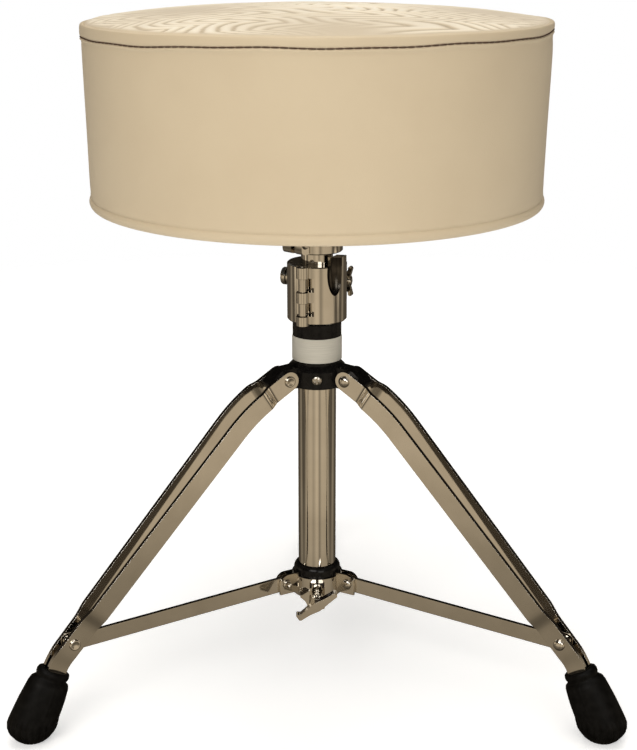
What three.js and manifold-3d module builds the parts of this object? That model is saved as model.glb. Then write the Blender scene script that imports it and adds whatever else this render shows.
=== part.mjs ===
// A drum throne: a round cushion on a height-adjustable post, over a folding tripod of flat steel bars.
// Millimetres, +Z up. The floor is z = 0, and the front of the throne faces -Y.

import * as THREE from 'three';
import { mergeVertices } from 'three/addons/utils/BufferGeometryUtils.js';
import Module from 'manifold-3d';

const wasm = await Module();
wasm.setup();

// ---------------------------------------------------------------- driving dimensions

const GAP = 0.3; // clearance kept between neighbouring pieces
const TAU = 2 * Math.PI;

// Column
const TUBE_RADIUS = 15.5;
const TUBE_WALL = 1.5;
const TUBE_BOTTOM = 80;
const TUBE_TOP = 318;
const POST_RADIUS = 12.7;
const POST_WALL = 2;
const POST_BOTTOM = 96;
const POST_TOP = 392;
const SLEEVE_RADIUS = 19.6;

// Tripod hub
const HUB_RADIUS = 23.7;
const HUB_BOTTOM = 251.5;
const HUB_TOP = 270;
const SLEEVE_TOP = 304.2;
const LUG_HALF_WIDTH = 7.2;
const HUB_SCREW_HEIGHT = 260;
const HUB_SCREW = { head: 3.9, rise: 2.2, shank: 2, length: 4 };

// Legs, drawn in their own plane as radius from the column's axis and height
const LEG_AZIMUTHS = { right: -30, rear: 90, left: 210 };
const LEG_PIVOT = { r: 31, z: 259.2 };
const BAR_WIDTH = 15.7;
const BAR_THICKNESS = 3.5;
const TAB_LEAN = 60; // degrees from vertical
const MAIN_LEAN = 43.1;
const FOOT_LEAN = 27.5;
const TAB_LENGTH = 19.6;
const SHOULDER_BEND_RADIUS = 134.6;
const ANKLE_BEND_RADIUS = 44;
const PIVOT_TO_RIVET = 264.5; // along the bar
const RIVET_TO_ANKLE = 10;
const BAR_IN_FOOT = 22;
const PIVOT_SHANK = 3.2;
const RIVET_SHANK = 3;

// Lower hub and braces
const BRACE_PIN = { r: 31.2, z: 81.5 };
const BRACE_EDGES = { above: 5.4, below: 7.2, end: 7 }; // from its pins
const BRACE_THICKNESS = 3.5;
const EAR_THICKNESS = 2.4;
const SPIDER_RADIUS = 21;
const SPIDER_BOTTOM = 69;
const SPIDER_TOP = 86;
const WING_SCREW_HEIGHT = 75;

// Height clamp, in its own frame, which is turned a little about the column
const CLAMP_TURN = -20; // degrees
const CLAMP_RADIUS = 23.8;
const CLAMP_BOTTOM = 304.8;
const CLAMP_TOP = 351.4;
const CLAMP_HINGE = { x: -3.1, y: -24.1 };
const CLAMP_KNUCKLES = [304.8, 312.4, 322.8, 331.8, 342.4, 351.4];
const CLAMP_BOLT = { y: 25.2, z: 331.4 };
const CLAMP_EARS = { left: -30, slit: -11.5, right: 12 };
const CLAMP_HEAD_BOSS = 4; // how far the round boss under the bolt's head stands out of the left ear

// Seat
const CUSHION_RADIUS = 178;
const CUSHION_BOTTOM = 400;
const SEAM_HEIGHT = 530;
const CROWN_HEIGHT = 550;
const BOARD_RADIUS = 171;
const COLLAR_RADIUS = 20.5;
const COLLAR_BOTTOM = 360.5;
const COLLAR_TOP = 397;
const PLATE_SIDE = 110;
const PLATE_THICKNESS = 3;
const PLATE_SCREW_SPACING = 84;

// Feet
const FOOT_LENGTH = 41.8; // from the lip to the rim of the sole, along the foot
const FOOT_RIM = { radial: 20.5, tangential: 17.5 };

// ---------------------------------------------------------------- materials

function finish(color, roughness, metalness) {
  return () => new THREE.MeshStandardMaterial({ color, roughness, metalness });
}

const chrome = finish(0xb9ad98, 0.12, 1);
const blackNylon = finish(0x141312, 0.3, 0);
const rubber = finish(0x17161a, 0.75, 0);
const foil = finish(0xb5ac98, 0.35, 0.7);
const plywood = finish(0xb08b5c, 0.8, 0);
const cloth = finish(0x26241f, 0.95, 0);
const vinyl = finish(0xcdb996, 0.5, 0);

// ---------------------------------------------------------------- shape helpers

const radians = THREE.MathUtils.degToRad;

function toSolid(geometry) {
  const bare = geometry.clone();
  bare.deleteAttribute('normal');
  bare.deleteAttribute('uv');
  const merged = mergeVertices(bare, 1e-4);
  return new wasm.Manifold(new wasm.Mesh({
    numProp: 3,
    vertProperties: new Float32Array(merged.attributes.position.array),
    triVerts: new Uint32Array(merged.index.array),
  }));
}

function toGeometry(manifold) {
  const mesh = manifold.getMesh();
  const geometry = new THREE.BufferGeometry();
  geometry.setAttribute('position', new THREE.BufferAttribute(new Float32Array(mesh.vertProperties), 3));
  geometry.setIndex(new THREE.BufferAttribute(new Uint32Array(mesh.triVerts), 1));
  return geometry;
}

function join(...geometries) {
  return toGeometry(geometries.map(toSolid).reduce((whole, piece) => whole.add(piece)));
}

function cut(geometry, ...tools) {
  return toGeometry(tools.map(toSolid).reduce((whole, tool) => whole.subtract(tool), toSolid(geometry)));
}

function common(a, b) {
  return toGeometry(toSolid(a).intersect(toSolid(b)));
}

// A solid of revolution about Z. The profile is a list of [radius, z] that starts and ends on the axis.
function turned(profile, segments = 24) {
  const points = profile.map(([r, z]) => new THREE.Vector2(r, z));
  return new THREE.LatheGeometry(points, segments).rotateX(Math.PI / 2);
}

function ring(outer, inner, bottom, top, segments = 24) {
  const profile = [[inner, bottom], [outer, bottom], [outer, top], [inner, top], [inner, bottom]];
  return turned(profile, segments);
}

function disc(radius, bottom, top, segments = 24) {
  return turned([[0, bottom], [radius, bottom], [radius, top], [0, top]], segments);
}

function box(x0, x1, y0, y1, z0, z1) {
  const geometry = new THREE.BoxGeometry(x1 - x0, y1 - y0, z1 - z0);
  return geometry.translate((x0 + x1) / 2, (y0 + y1) / 2, (z0 + z1) / 2);
}

function prism(shape, bottom, top, curveSegments = 6) {
  const depth = top - bottom;
  return new THREE.ExtrudeGeometry(shape, { depth, bevelEnabled: false, curveSegments }).translate(0, 0, bottom);
}

function polygon(points) {
  return new THREE.Shape(points.map(([x, y]) => new THREE.Vector2(x, y)));
}

function roundedRectangle(x0, x1, y0, y1, radius) {
  const shape = new THREE.Shape();
  shape.moveTo(x0 + radius, y0);
  shape.lineTo(x1 - radius, y0);
  shape.absarc(x1 - radius, y0 + radius, radius, -Math.PI / 2, 0);
  shape.lineTo(x1, y1 - radius);
  shape.absarc(x1 - radius, y1 - radius, radius, 0, Math.PI / 2);
  shape.lineTo(x0 + radius, y1);
  shape.absarc(x0 + radius, y1 - radius, radius, Math.PI / 2, Math.PI);
  shape.lineTo(x0, y0 + radius);
  shape.absarc(x0 + radius, y0 + radius, radius, Math.PI, 1.5 * Math.PI);
  return shape;
}

// A shape drawn as (x, z), extruded along y from one y to the other.
function sidePrism(shape, y0, y1, curveSegments = 6) {
  return prism(shape, 0, y1 - y0, curveSegments).rotateX(Math.PI / 2).translate(0, y1, 0);
}

// A shape drawn as (y, z), extruded along x from one x to the other.
function endPrism(shape, x0, x1, curveSegments = 6) {
  const toYZ = new THREE.Matrix4().makeBasis(
    new THREE.Vector3(0, 1, 0),
    new THREE.Vector3(0, 0, 1),
    new THREE.Vector3(1, 0, 0),
  );
  return prism(shape, x0, x1, curveSegments).applyMatrix4(toYZ);
}

// Round bars, which also serve as drills: along Y through (x, z), and along X through (y, z).
function barAlongY(x, z, radius, y0, y1, segments = 10) {
  return disc(radius, y0, y1, segments).rotateX(-Math.PI / 2).translate(x, 0, z);
}

function barAlongX(y, z, radius, x0, x1, segments = 10) {
  return disc(radius, x0, x1, segments).rotateY(Math.PI / 2).translate(0, y, z);
}

// A closed skin through a list of rings of points, each ring with the same count, flat at both ends.
function loft(rings) {
  const count = rings[0].length;
  const points = rings.flat();
  const faces = [];
  for (let i = 0; i < rings.length - 1; i += 1) {
    for (let j = 0; j < count; j += 1) {
      const a = i * count + j;
      const b = i * count + ((j + 1) % count);
      faces.push(a, b, b + count, a, b + count, a + count);
    }
  }
  const last = (rings.length - 1) * count;
  for (let j = 1; j < count - 1; j += 1) {
    faces.push(0, j + 1, j, last, last + j, last + j + 1);
  }
  const geometry = new THREE.BufferGeometry().setFromPoints(points);
  geometry.setIndex(signedVolume(points, faces) < 0 ? faces.reverse() : faces);
  return geometry;
}

function signedVolume(points, faces) {
  let volume = 0;
  for (let i = 0; i < faces.length; i += 3) {
    const [a, b, c] = [points[faces[i]], points[faces[i + 1]], points[faces[i + 2]]];
    volume += a.dot(new THREE.Vector3().crossVectors(b, c)) / 6;
  }
  return volume;
}

function add(parent, name, geometry, material) {
  const mesh = new THREE.Mesh(geometry, material());
  mesh.name = name;
  parent.add(mesh);
}

// ---------------------------------------------------------------- rivets and screws

// Half of a rivet, turned about Z: a shank from z = end up to z = grip, and a domed head above it.
function domedHead(grip, end, shank, head) {
  const rise = 0.55 * head;
  const profile = [[0, end], [shank, end], [shank, grip], [head, grip]];
  profile.push([head * Math.cos(radians(45)), grip + rise * Math.sin(radians(45))]);
  profile.push([0, grip + rise]);
  return profile;
}

// The rolled end of a tubular rivet: a low collar with a dimple in its middle.
function rolledEnd(grip, end, shank, collar) {
  const rise = 1.3;
  return [
    [0, end], [shank, end], [shank, grip], [collar, grip], [collar - 0.6, grip + rise], [0, grip + 0.4 * rise],
  ];
}

// Rivets lie along the leg's cross direction Y. Heads face clockwise (-Y), rolled ends counter-clockwise (+Y).
function alongY(profile, towards, at) {
  return turned(profile, 10).rotateX(-towards * Math.PI / 2).translate(at.r, 0, at.z);
}

function wholeRivet(at, halfGrip, shank, head) {
  const headHalf = alongY(domedHead(halfGrip, 0, shank, head), -1, at);
  const rolledHalf = alongY(rolledEnd(halfGrip, -0.5, shank, head - 0.2), 1, at);
  return join(headHalf, rolledHalf);
}

function panScrew(head, headHeight, shank, length, segments = 12) {
  const profile = [[0, 0], [0.75 * head, 0], [head, 0.6 * headHeight], [head, headHeight]];
  profile.push([shank, headHeight], [shank, headHeight + length], [0, headHeight + length]);
  return turned(profile, segments);
}

// ---------------------------------------------------------------- base column

const TUBE_BORE = TUBE_RADIUS - TUBE_WALL;

function tubeEndPlug() {
  const stem = TUBE_BORE - GAP;
  return turned([
    [0, TUBE_BOTTOM - 2.5], [TUBE_RADIUS - 0.8, TUBE_BOTTOM - 2.5], [TUBE_RADIUS, TUBE_BOTTOM - 1.7],
    [TUBE_RADIUS, TUBE_BOTTOM - GAP], [stem, TUBE_BOTTOM - GAP], [stem, TUBE_BOTTOM + 12],
    [0, TUBE_BOTTOM + 12],
  ]);
}

function tubeGuideBush() {
  const bore = POST_RADIUS + 0.2;
  const outer = TUBE_BORE - 0.2;
  const flange = TUBE_TOP + GAP;
  return turned([
    [bore, TUBE_TOP - 38], [outer, TUBE_TOP - 38], [outer, flange], [TUBE_RADIUS, flange],
    [TUBE_RADIUS, flange + 1.5], [bore, flange + 1.5], [bore, TUBE_TOP - 38],
  ]);
}

function tripodHub() {
  const bore = TUBE_RADIUS + GAP;
  const body = turned([
    [bore, HUB_BOTTOM], [HUB_RADIUS - 1, HUB_BOTTOM], [HUB_RADIUS, HUB_BOTTOM + 1], [HUB_RADIUS, HUB_TOP - 4.5],
    [HUB_RADIUS - 1, HUB_TOP - 3.2], [SLEEVE_RADIUS, HUB_TOP], [SLEEVE_RADIUS, SLEEVE_TOP],
    [bore, SLEEVE_TOP], [bore, HUB_BOTTOM],
  ], 32);
  const lugOutline = polygon([
    [17, HUB_BOTTOM], [43.5, HUB_BOTTOM], [48, 257.2], [36, HUB_TOP - 2.6], [17, HUB_TOP - 1],
  ]);
  const rivetHole = barAlongY(LEG_PIVOT.r, LEG_PIVOT.z, PIVOT_SHANK + GAP, -20, 20);
  const lug = cut(sidePrism(lugOutline, -LUG_HALF_WIDTH, LUG_HALF_WIDTH), rivetHole);
  const lugs = Object.values(LEG_AZIMUTHS).map((azimuth) => lug.clone().rotateZ(radians(azimuth)));
  const screwHole = barAlongY(0, HUB_SCREW_HEIGHT, HUB_SCREW.shank + GAP, -30, -10);
  const clearTube = disc(bore, HUB_BOTTOM - 1, SLEEVE_TOP + 1, 32);
  return cut(join(body, ...lugs), clearTube, screwHole);
}

// A cross-slotted pan screw that looks straight out of the front of the hub.
function hubScrew() {
  const { head, rise, shank, length } = HUB_SCREW;
  const slots = [box(-2.6, 2.6, -0.45, 0.45, -0.5, 0.9), box(-0.45, 0.45, -2.6, 2.6, -0.5, 0.9)];
  const screw = cut(panScrew(head, rise, shank, length), ...slots);
  return screw.rotateX(-Math.PI / 2).translate(0, -HUB_RADIUS - GAP - rise, HUB_SCREW_HEIGHT);
}

function sleeveLabel() {
  const inner = SLEEVE_RADIUS + GAP;
  const outer = inner + GAP;
  const halfWrap = radians(82);
  const shape = new THREE.Shape();
  shape.absarc(0, 0, outer, -Math.PI / 2 - halfWrap, -Math.PI / 2 + halfWrap, false);
  shape.absarc(0, 0, inner, -Math.PI / 2 + halfWrap, -Math.PI / 2 - halfWrap, true);
  return prism(shape, 272.6, 292.2, 12);
}

// ---------------------------------------------------------------- height clamp

const CLAMP_PIN_RADIUS = 1.8;
const CLAMP_HINGE_RADIUS = 5.2;
const CLAMP_BOLT_RADIUS = 3;
const WING_REACH = 12.2;
const WING_TIP_RADIUS = 1.8;

function clampBody() {
  const wall = turned([
    [0, CLAMP_BOTTOM], [CLAMP_RADIUS - 1.2, CLAMP_BOTTOM], [CLAMP_RADIUS, CLAMP_BOTTOM + 1.2],
    [CLAMP_RADIUS, CLAMP_TOP - 0.8], [CLAMP_RADIUS - 0.8, CLAMP_TOP], [0, CLAMP_TOP],
  ], 32);
  const hinge = disc(CLAMP_HINGE_RADIUS, CLAMP_BOTTOM, CLAMP_TOP, 12);
  hinge.translate(CLAMP_HINGE.x, CLAMP_HINGE.y, 0);
  const { y, z } = CLAMP_BOLT;
  const ears = endPrism(roundedRectangle(12, y + 7.5, z - 15, z + 12, 5), CLAMP_EARS.left, CLAMP_EARS.right, 4);
  const headBoss = barAlongX(y, z, 6.9, CLAMP_EARS.left - CLAMP_HEAD_BOSS, CLAMP_EARS.left + 1, 16);
  return join(wall, hinge, ears, headBoss);
}

// The taller lug on the right of the clamp, and the thumb scoop beside it.
function clampBoss() {
  const shape = new THREE.Shape();
  const [from, to] = [radians(-37), radians(8)];
  shape.absarc(0, 0, CLAMP_RADIUS, from, to, false);
  shape.absarc(0, 0, CLAMP_RADIUS - 8, to, from, true);
  return prism(shape, CLAMP_TOP - 10, CLAMP_TOP + 6.2, 8);
}

function clampScoop() {
  const scoop = new THREE.SphereGeometry(1, 12, 8).scale(7, 8, 19);
  return scoop.translate(CLAMP_RADIUS + 2, 0, 346).rotateZ(radians(-33));
}

// Everything that both halves are bored out for: the post, the tube's mouth, the bolt and the hinge pin.
function clampBores() {
  return [
    disc(POST_RADIUS + GAP, CLAMP_BOTTOM - 1, CLAMP_TOP + 8, 32),
    disc(TUBE_RADIUS + GAP, CLAMP_BOTTOM - 1, TUBE_TOP + 2.4, 32),
    barAlongX(CLAMP_BOLT.y, CLAMP_BOLT.z, CLAMP_BOLT_RADIUS + 0.8, -40, 40),
    disc(CLAMP_PIN_RADIUS + GAP, CLAMP_BOTTOM - 1, CLAMP_TOP + 1, 10)
      .translate(CLAMP_HINGE.x, CLAMP_HINGE.y, 0),
  ];
}

// The plan of one half: everything on its side of the parting line, which runs from the slit at the back
// through the bore to the hinge.
function clampSide(side) {
  const slitX = CLAMP_EARS.slit + side * 0.6;
  const hingeX = CLAMP_HINGE.x + side * 0.4;
  const reach = side * 60;
  const plan = [[slitX, 50], [slitX, 3], [hingeX, -9], [hingeX, -50], [reach, -50], [reach, 50]];
  return prism(polygon(side > 0 ? plan.reverse() : plan), CLAMP_BOTTOM - 2, CLAMP_TOP + 10);
}

function knuckle(index, radius, margin = 0) {
  const [bottom, top] = [CLAMP_KNUCKLES[index], CLAMP_KNUCKLES[index + 1]];
  return disc(radius, bottom - margin, top + margin, 12).translate(CLAMP_HINGE.x, CLAMP_HINGE.y, 0);
}

// Right half: knuckles 0, 2 and 4, with windows for the left half's knuckles 1 and 3.
function clampFixedHalf() {
  const half = common(cut(join(clampBody(), clampBoss()), clampScoop()), clampSide(1));
  const knuckles = [0, 2, 4].map((i) => knuckle(i, CLAMP_HINGE_RADIUS));
  const windows = [1, 3].map((i) => box(
    CLAMP_HINGE.x - 6, CLAMP_HINGE.x + 9, CLAMP_HINGE.y - 8, CLAMP_HINGE.y + CLAMP_HINGE_RADIUS + 0.5,
    CLAMP_KNUCKLES[i] - GAP, CLAMP_KNUCKLES[i + 1] + GAP,
  ));
  // A round recess in the wall lets the wing nut turn.
  const nutRoom = barAlongX(CLAMP_BOLT.y, CLAMP_BOLT.z, WING_REACH + 0.7, CLAMP_EARS.right, 40, 20);
  return cut(join(half, ...knuckles), ...windows, nutRoom, ...clampBores());
}

function clampSwingHalf() {
  const half = common(clampBody(), clampSide(-1));
  const knuckles = [1, 3].map((i) => knuckle(i, CLAMP_HINGE_RADIUS));
  const clearances = [0, 2, 4].map((i) => knuckle(i, CLAMP_HINGE_RADIUS + 0.4, i > 0 && i < 4 ? 0 : 1));
  // The bolt stays square to the right ear, so the left ear swings past it.
  const boltRoom = barAlongX(CLAMP_BOLT.y, CLAMP_BOLT.z, CLAMP_BOLT_RADIUS + 2, -40, CLAMP_EARS.slit, 14);
  return cut(join(cut(half, ...clearances), ...knuckles), boltRoom, ...clampBores());
}

function clampHingePin() {
  const pin = disc(CLAMP_PIN_RADIUS, CLAMP_BOTTOM + 0.4, CLAMP_TOP - 0.4, 10);
  return pin.translate(CLAMP_HINGE.x, CLAMP_HINGE.y, 0);
}

function clampDrawBolt() {
  const headEnd = CLAMP_EARS.left - CLAMP_HEAD_BOSS - GAP;
  const tip = CLAMP_EARS.right + 8.6;
  const profile = [
    [0, headEnd - 5], [5.2, headEnd - 5], [7, headEnd - 4], [7.3, headEnd - 1], [7.3, headEnd],
    [CLAMP_BOLT_RADIUS, headEnd], [CLAMP_BOLT_RADIUS, tip - 0.6], [CLAMP_BOLT_RADIUS - 0.6, tip], [0, tip],
  ];
  return turned(profile, 16).rotateY(Math.PI / 2).translate(0, CLAMP_BOLT.y, CLAMP_BOLT.z);
}

function clampWasher() {
  const seat = CLAMP_EARS.right + GAP;
  const washer = ring(6.4, CLAMP_BOLT_RADIUS + GAP, seat, seat + 1, 14);
  return washer.rotateY(Math.PI / 2).translate(0, CLAMP_BOLT.y, CLAMP_BOLT.z);
}

// Two wings that flare away from the clamp, with round tips, on a round hub.
function clampWingNut() {
  const seat = CLAMP_EARS.right + 1 + 2 * GAP;
  const wing = new THREE.Shape();
  wing.moveTo(seat + 0.6, -4);
  wing.lineTo(seat + 4.4, -9.6);
  wing.absarc(seat + 6, WING_TIP_RADIUS - WING_REACH, WING_TIP_RADIUS, radians(153), radians(365), false);
  wing.lineTo(seat + 6.2, -4.5);
  wing.lineTo(seat + 6.2, 4.5);
  wing.absarc(seat + 6, WING_REACH - WING_TIP_RADIUS, WING_TIP_RADIUS, radians(-5), radians(207), false);
  wing.lineTo(seat + 0.6, 4);
  const wings = sidePrism(wing, -1.9, 1.9);
  const hub = turned([[0, seat], [5.4, seat], [5.4, seat + 2], [4.4, seat + 6.2], [0, seat + 6.2]], 14);
  const bore = barAlongX(0, 0, CLAMP_BOLT_RADIUS + GAP, seat - 1, seat + 9);
  const nut = cut(join(hub.rotateY(Math.PI / 2), wings), bore);
  return nut.translate(0, CLAMP_BOLT.y, CLAMP_BOLT.z);
}

// ---------------------------------------------------------------- post and seat

const PINCH_AZIMUTH = -132; // degrees, where the collar is slotted
const PINCH_BOLT = { out: 23.5, z: 370.5, radius: 2.5 };

function seatPost() {
  return ring(POST_RADIUS, POST_RADIUS - POST_WALL, POST_BOTTOM, POST_TOP, 32);
}

// A nylon ring pressed on the post's lower end, which centres it in the tube. It sits in a groove that the
// ring's own inner edge stands clear of.
function postSlideRing() {
  return ring(TUBE_BORE - 0.15, POST_RADIUS + 0.15, POST_BOTTOM + 2, POST_BOTTOM + 16, 24);
}

// The collar's own frame has the pinch slot along +X and the bolt along Y.
function seatCollar() {
  const tower = turned([
    [0, COLLAR_BOTTOM], [COLLAR_RADIUS - 0.8, COLLAR_BOTTOM], [COLLAR_RADIUS, COLLAR_BOTTOM + 0.8],
    [COLLAR_RADIUS, 384], [COLLAR_RADIUS + 2, 388], [COLLAR_RADIUS + 9, 392.5], [COLLAR_RADIUS + 11, 394],
    [COLLAR_RADIUS + 11, COLLAR_TOP], [0, COLLAR_TOP],
  ], 32);
  const earProfile = roundedRectangle(14, 28, COLLAR_BOTTOM + 1, 381, 4);
  const ears = sidePrism(earProfile, -11, 9.5, 4);
  const slot = box(8, 40, -1.9, 1.9, COLLAR_BOTTOM - 1, 382);
  const boltHole = barAlongY(PINCH_BOLT.out, PINCH_BOLT.z, PINCH_BOLT.radius + GAP, -20, 20);
  const headPocket = barAlongY(PINCH_BOLT.out, PINCH_BOLT.z, 4.6, 7, 20);
  const postBore = disc(POST_RADIUS + GAP, COLLAR_BOTTOM - 1, POST_TOP + GAP, 32);
  const collar = cut(join(tower, ears), slot, boltHole, headPocket, postBore);
  return collar.rotateZ(radians(PINCH_AZIMUTH));
}

function placePinchPart(geometry) {
  return geometry.translate(PINCH_BOLT.out, 0, PINCH_BOLT.z).rotateZ(radians(PINCH_AZIMUTH));
}

function pinchBolt() {
  const bolt = turned([
    [0, -14.5], [PINCH_BOLT.radius, -14.5], [PINCH_BOLT.radius, 7.3], [4.1, 7.3], [4.1, 10.2], [3.4, 11],
    [0, 11],
  ], 12);
  const socket = new THREE.CylinderGeometry(1.9, 1.9, 4, 6).rotateX(Math.PI / 2).translate(0, 0, 11);
  return placePinchPart(cut(bolt, socket).rotateX(-Math.PI / 2));
}

function pinchNut() {
  const hex = new THREE.CylinderGeometry(4.4, 4.4, 3, 6).rotateX(Math.PI / 2).translate(0, 0, -12.8);
  const bore = disc(PINCH_BOLT.radius + GAP, -20, 0, 12);
  return placePinchPart(cut(hex, bore).rotateX(-Math.PI / 2));
}

const PLATE_BOTTOM = COLLAR_TOP + GAP;
const CLOTH_BOTTOM = PLATE_BOTTOM + PLATE_THICKNESS + GAP;
const CLOTH_THICKNESS = 0.8;
const BOARD_BOTTOM = CLOTH_BOTTOM + CLOTH_THICKNESS + GAP;
const BOARD_TOP = BOARD_BOTTOM + 12;
const PLATE_SCREW = { head: 4.8, rise: 3, shank: 2.4, length: 11 };

const PLATE_SCREW_PLACES = [[1, 1], [-1, 1], [-1, -1], [1, -1]].map(
  ([sx, sy]) => [sx * PLATE_SCREW_SPACING / 2, sy * PLATE_SCREW_SPACING / 2],
);

function screwHoles() {
  return PLATE_SCREW_PLACES.map(
    ([x, y]) => disc(PLATE_SCREW.shank + GAP, PLATE_BOTTOM - 1, PLATE_BOTTOM + 12, 10).translate(x, y, 0),
  );
}

function seatPlate() {
  const half = PLATE_SIDE / 2;
  const plate = prism(roundedRectangle(-half, half, -half, half, 12), PLATE_BOTTOM, PLATE_BOTTOM + PLATE_THICKNESS);
  return cut(plate, ...screwHoles());
}

function plateScrew([x, y]) {
  const { head, rise, shank, length } = PLATE_SCREW;
  return panScrew(head, rise, shank, length).translate(x, y, PLATE_BOTTOM - GAP - rise);
}

function dustCloth() {
  return cut(disc(BOARD_RADIUS - 1, CLOTH_BOTTOM, CLOTH_BOTTOM + CLOTH_THICKNESS, 48), ...screwHoles());
}

function seatBoard() {
  return cut(disc(BOARD_RADIUS - 1, BOARD_BOTTOM, BOARD_TOP, 48), ...screwHoles());
}

// Foam and cover as one closed body, hollowed underneath for the board.
function cushion() {
  const profile = [
    [0, BOARD_TOP + GAP], [BOARD_RADIUS, BOARD_TOP + GAP], [BOARD_RADIUS, CUSHION_BOTTOM + 1],
    [BOARD_RADIUS + 1.5, CUSHION_BOTTOM], [BOARD_RADIUS + 4, CUSHION_BOTTOM + 1],
    [CUSHION_RADIUS - 2.6, CUSHION_BOTTOM + 8], [CUSHION_RADIUS - 0.6, CUSHION_BOTTOM + 32],
    [CUSHION_RADIUS, CUSHION_BOTTOM + 60], [CUSHION_RADIUS, SEAM_HEIGHT],
    [CUSHION_RADIUS - 2.5, SEAM_HEIGHT + 6], [CUSHION_RADIUS - 8, SEAM_HEIGHT + 10],
  ];
  const shoulder = { r: CUSHION_RADIUS - 8, z: SEAM_HEIGHT + 10 };
  for (const share of [0.8, 0.5, 0.2, 0]) {
    profile.push([share * shoulder.r, CROWN_HEIGHT - (CROWN_HEIGHT - shoulder.z) * share ** 2]);
  }
  return turned(profile, 48);
}

// ---------------------------------------------------------------- lower hub

const CLEVIS_PIN_RADIUS = 2.6;
const EAR_INNER = BRACE_THICKNESS / 2 + 0.4;
const EAR_OUTER = EAR_INNER + EAR_THICKNESS;

function spiderEar() {
  const outline = new THREE.Shape();
  outline.moveTo(SPIDER_RADIUS - 1, 72.7);
  outline.lineTo(37.5, 72.7);
  outline.lineTo(37.5, 81.5);
  outline.absarc(29.5, 81.5, 8, 0, Math.PI / 2, false);
  outline.lineTo(SPIDER_RADIUS - 1, 89.5);
  return outline;
}

function lowerHubSpider() {
  const wall = ring(SPIDER_RADIUS, SPIDER_RADIUS - 2.5, SPIDER_BOTTOM, SPIDER_TOP, 32);
  const pinHole = barAlongY(BRACE_PIN.r, BRACE_PIN.z, CLEVIS_PIN_RADIUS + GAP, -10, 10);
  const ears = [];
  for (const azimuth of Object.values(LEG_AZIMUTHS)) {
    for (const side of [-1, 1]) {
      const faces = [side * EAR_INNER, side * EAR_OUTER].sort((a, b) => a - b);
      ears.push(cut(sidePrism(spiderEar(), ...faces, 4), pinHole).rotateZ(radians(azimuth)));
    }
  }
  const boss = box(-6.4, 6.4, -34, -19, 65.5, 84.5);
  const web = sidePrism(polygon([
    [-14, 70.5], [-10.5, 67.5], [-8.6, 64.5], [-8, 62.5], [-4, 62.5], [-4, 76], [-14, 76],
  ]), -21.6, -15);
  const channel = box(-4.2, 4.2, -36, -27, 60, 90);
  const screwHole = barAlongY(0, WING_SCREW_HEIGHT, 3.4, -40, 0);
  const clearSleeve = disc(SPIDER_RADIUS - 2.5, SPIDER_BOTTOM - 10, SPIDER_TOP + 6, 32);
  const clearFlange = disc(19.3 + GAP, SPIDER_TOP, SPIDER_TOP + 6, 32);
  return cut(join(wall, boss, web, ...ears), channel, clearSleeve, clearFlange, screwHole);
}

// The black nylon bush that slides on the tube: a sleeve inside the spider under a domed collar.
function lowerHubBush() {
  const bore = TUBE_RADIUS + GAP;
  const sleeve = SPIDER_RADIUS - 2.5 - GAP;
  const bush = turned([
    [bore, SPIDER_BOTTOM + 2], [sleeve, SPIDER_BOTTOM + 2], [sleeve, SPIDER_TOP + GAP],
    [19.3, SPIDER_TOP + GAP], [19.3, 90.4], [18.6, 92.8], [17.2, 94.4], [bore + 0.4, 94.9], [bore, 94.5],
    [bore, SPIDER_BOTTOM + 2],
  ], 32);
  return cut(bush, barAlongY(0, WING_SCREW_HEIGHT, 3.4, -40, 0));
}

function clevisPin(azimuth) {
  const pin = wholeRivet(BRACE_PIN, EAR_OUTER + GAP, CLEVIS_PIN_RADIUS, 4.1);
  return pin.rotateZ(radians(azimuth));
}

// A bow-tie wing on a round neck, drawn level and turned about the screw's own axis.
function hubWingScrew() {
  const tip = 18.9;
  const wing = polygon([
    [-tip, -2.4], [-tip + 1.6, -3.2], [-9, -3.2], [0, -4.6], [9, -3.2], [tip, -2],
    [tip, 2], [9, 2.4], [0, 3.6], [-9, 2.4], [-tip + 3.2, 1.4], [-tip + 1, 3.4], [-tip, 2.6],
  ]);
  const blade = sidePrism(wing, -49, -42).rotateY(radians(-34));
  const shank = turned([
    [0, 15.9], [3, 15.9], [3, 33], [4.6, 34.4], [5.2, 37.4], [4.6, 40], [5.6, 42.4], [0, 42.4],
  ], 14).rotateX(Math.PI / 2);
  return join(blade, shank).translate(0, 0, WING_SCREW_HEIGHT);
}

// ---------------------------------------------------------------- legs and braces

// Where the middle of a leg bar runs: straight tab, shoulder bend, long straight, ankle bend, straight.
const LEG_COURSE = [
  { length: TAB_LENGTH, lean: TAB_LEAN },
  { length: SHOULDER_BEND_RADIUS * radians(TAB_LEAN - MAIN_LEAN), lean: TAB_LEAN, endLean: MAIN_LEAN },
  {
    length: PIVOT_TO_RIVET + RIVET_TO_ANKLE - TAB_LENGTH
      - SHOULDER_BEND_RADIUS * radians(TAB_LEAN - MAIN_LEAN),
    lean: MAIN_LEAN,
  },
  { length: ANKLE_BEND_RADIUS * radians(MAIN_LEAN - FOOT_LEAN), lean: MAIN_LEAN, endLean: FOOT_LEAN },
  { length: 60, lean: FOOT_LEAN },
];

// The point and lean of the leg's middle line at a distance along it from the pivot.
function legPoint(distance) {
  let { r, z } = LEG_PIVOT;
  let left = distance;
  for (const { length, lean, endLean = lean } of LEG_COURSE) {
    const span = Math.min(left, length);
    const leanHere = lean + (endLean - lean) * span / length;
    const mean = radians((lean + leanHere) / 2);
    r += span * Math.sin(mean);
    z -= span * Math.cos(mean);
    left -= span;
    if (left <= 0) return { r, z, lean: leanHere };
  }
  throw new Error('the leg is shorter than that');
}

const LOWER_RIVET = legPoint(PIVOT_TO_RIVET);
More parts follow.
